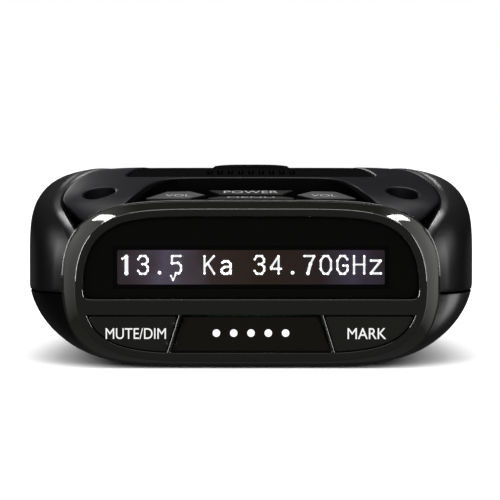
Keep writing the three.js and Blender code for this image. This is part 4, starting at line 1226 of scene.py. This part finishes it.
NODE_FINISH = {
    "nylon": ["bracket_socket", "display_carrier", "power_socket", "earphone_jack", "processor"],
    "board": ["display_board", "control_board", "main_board"],
    "tin": ["mute_dim_switch", "mark_switch",
            "volume_down_switch", "power_switch", "menu_switch", "volume_up_switch",
            "rf_shield", "usb_port", "speaker_frame", "release_spring"],
    "magnet": ["speaker_magnet"],
    "cream": ["mute_dim_plunger", "mark_plunger", "volume_down_plunger", "power_plunger", "menu_plunger",
              "volume_up_plunger"],
    "ceramic": ["gps_antenna"],
    "silicone": ["keypad_mat"],
    "cast": ["horn_antenna"],
    "nose": ["laser_lens"],
    "paper": ["speaker_cone"],
    "screw": ["case_screw_1", "case_screw_2", "case_screw_3", "case_screw_4", "deck_screw_1", "deck_screw_2"],
}


def dress_nodes():
    """Gives each CAD node that stays its own finish."""
    for name, nodes in NODE_FINISH.items():
        for node in nodes:
            mesh = frame["nodes"][node].data
            mesh.materials.clear()
            mesh.materials.append(finish(name))
    return True


def area_light(name, way, distance, size, radiance, fades):
    """Rectangular soft box. Its power is pi times the radiance times its area. One that fades shines less
    towards its ends: with a half spread of h, (tan h - h) / tan h of that power keeps its middle's
    radiance."""
    data = bpy.data.lights.new(name, "AREA")
    data.shape, data.size, data.size_y = "RECTANGLE", size[0], size[1]
    data.energy = math.pi * radiance * size[0] * size[1]
    if fades:
        half = math.atan(max(size) / 2 / distance)
        data.spread = 2 * half
        data.energy *= (math.tan(half) - half) / math.tan(half)
    obj = show(name, data)
    obj.location = TARGET + Vector(way).normalized() * distance
    obj.rotation_euler = (-Vector(way)).to_track_quat("-Z", "Y").to_euler()
    return obj


def linked(name, pieces, state):
    """A light-linking collection that includes or excludes the pieces."""
    group = bpy.data.collections.new(name)
    for made in pieces:
        group.objects.link(made)
    for entry in group.collection_objects:
        entry.light_linking.link_state = state
    return group


def studio_world():
    """Dim room, paler in front by the way's -y, with a faint strip low behind. The backdrop itself is
    white."""
    s = Shader("studio", world=True)
    way = s.node("ShaderNodeTexCoord", out="Generated")
    _, y, z = (s.node("ShaderNodeSeparateXYZ", {}, {0: way}, out=k) for k in range(3))
    clamp = lambda value: s.node("ShaderNodeClamp", {}, {0: value})
    off = s.node("ShaderNodeMath", {"operation": "ABSOLUTE"}, {0: z + 0.045})
    zones = {
        "front": clamp(y * -1.0), "above": clamp(z), "below": clamp(z * -1.0),
        "strip": clamp((y - 0.75) / 0.1) * clamp((0.055 - off) / 0.02),
    }
    room = ROOM["base"]
    for zone, share in zones.items():
        room = room + ROOM[zone] * share
    seen = s.node("ShaderNodeLightPath", out="Is Camera Ray")
    sockets = {"Color": (1, 1, 1, 1), "Strength": room + seen * (1.0 - room)}
    return s.finish(s.node("ShaderNodeBackground", {}, sockets))


def build_floor():
    """Pale paper that neither shows in the gloss nor lights the detector."""
    mesh = bpy.data.meshes.new("floor")
    side = FLOOR_REACH
    mesh.from_pydata(
        [(-side, -side, 0), (side, -side, 0), (side, side, 0), (-side, side, 0)], [], [(0, 1, 2, 3)]
    )
    floor = show("floor", mesh)
    floor.visible_glossy = floor.visible_diffuse = False
    s = Shader("floor_paper")
    roughness = 0.8 + 0.1 * s.noise(400.0, 3.0)
    mesh.materials.append(s.finish(s.principled((0.93, 0.93, 0.93, 1), roughness, Specular_IOR_Level=0.1)))
    return floor


def build_stage():
    """Pale floor, soft boxes and the camera, which looks along +Y from a little above."""
    scene, floor = bpy.context.scene, build_floor()
    scene.world = studio_world()
    scene.view_settings.view_transform = "Standard"
    sky = bpy.data.lights.new("floor_light", "SUN")
    sky.energy, sky.angle = FLOOR_LIGHT, math.radians(150)
    show("floor_light", sky).light_linking.receiver_collection = linked("floor_light_reach", [floor], ONLY)
    for name, way, distance, size, radiance, fades, state, names in SOFT_BOXES:
        lamp = area_light(name, way, distance, size, radiance, fades).light_linking
        lamp.receiver_collection = linked(name + "_reach", [bpy.data.objects[n] for n in names], state)
        # a lamp below the floor shines past it
        lamp.blocker_collection = linked(name + "_passes", [floor], NOT)
    camera = bpy.data.cameras.new("camera")
    camera.sensor_width, camera.clip_start, camera.lens = 36, 0.01, CAMERA["lens"]
    camera.shift_x, camera.shift_y = CAMERA["shift"]
    obj, elevation, aim = show("camera", camera), math.radians(CAMERA["elevation"]), Vector(CAMERA["aim"])
    obj.location = aim + CAMERA["distance"] * Vector((0, -math.cos(elevation), math.sin(elevation)))
    obj.rotation_euler = (aim - obj.location).to_track_quat("-Z", "Y").to_euler()
    scene.camera = obj
    return True


def all_of(*steps):
    """An action that runs the steps and succeeds if each makes something."""
    return lambda: all([step() for step in steps])


OPERATORS = [
    operator(
        "housing", "Housing", "Two shells with their seams and openings", all_of(upper_shell, lower_shell)
    ),
    operator("deck", "Top Deck", "Deck with its screw wells, inlay and dish", all_of(deck, inlay, tray)),
    operator("keys", "Keys", "Four top keys, two face keys and the release key", build_keys),
    operator(
        "face", "Face", "Bezel, window, display, readout, indicator panel and its dots",
        all_of(bezel, window, display, readout, indicator_panel, light_pipes),
    ),
    operator("nose", "Nose Window", "Window at the windshield end", nose),
    operator("legends", "Legends", "Lit legends of the keys", build_legends),
    operator("nodes", "Inner Parts", "Finishes of the parts that keep their CAD shape", dress_nodes),
    operator("stage", "Stage", "Floor, lights and camera", build_stage),
]


class DETECTOR_PT_panel(bpy.types.Panel):
    """Lists the operators and the settings."""

    bl_label = "Radar Detector"
    bl_space_type = "VIEW_3D"
    bl_region_type = "UI"
    bl_category = "Detector"

    def draw(self, context):
        for group in (context.scene.detector_sizes, context.scene.detector_colours):
            for name in group.__annotations__:
                self.layout.prop(group, name)
        for made in OPERATORS:
            self.layout.operator(made.bl_idname)


CLASSES = [DetectorSizes, DetectorColours, DETECTOR_PT_panel, *OPERATORS]


def register():
    for made in CLASSES:
        bpy.utils.register_class(made)
    bpy.types.Scene.detector_sizes = PointerProperty(type=DetectorSizes)
    bpy.types.Scene.detector_colours = PointerProperty(type=DetectorColours)


def unregister():
    del bpy.types.Scene.detector_colours
    del bpy.types.Scene.detector_sizes
    for made in reversed(CLASSES):
        bpy.utils.unregister_class(made)


def main():
    register()
    for made in OPERATORS:
        group, name = made.bl_idname.split(".")
        getattr(getattr(bpy.ops, group), name)()


if __name__ == "__main__":
    main()
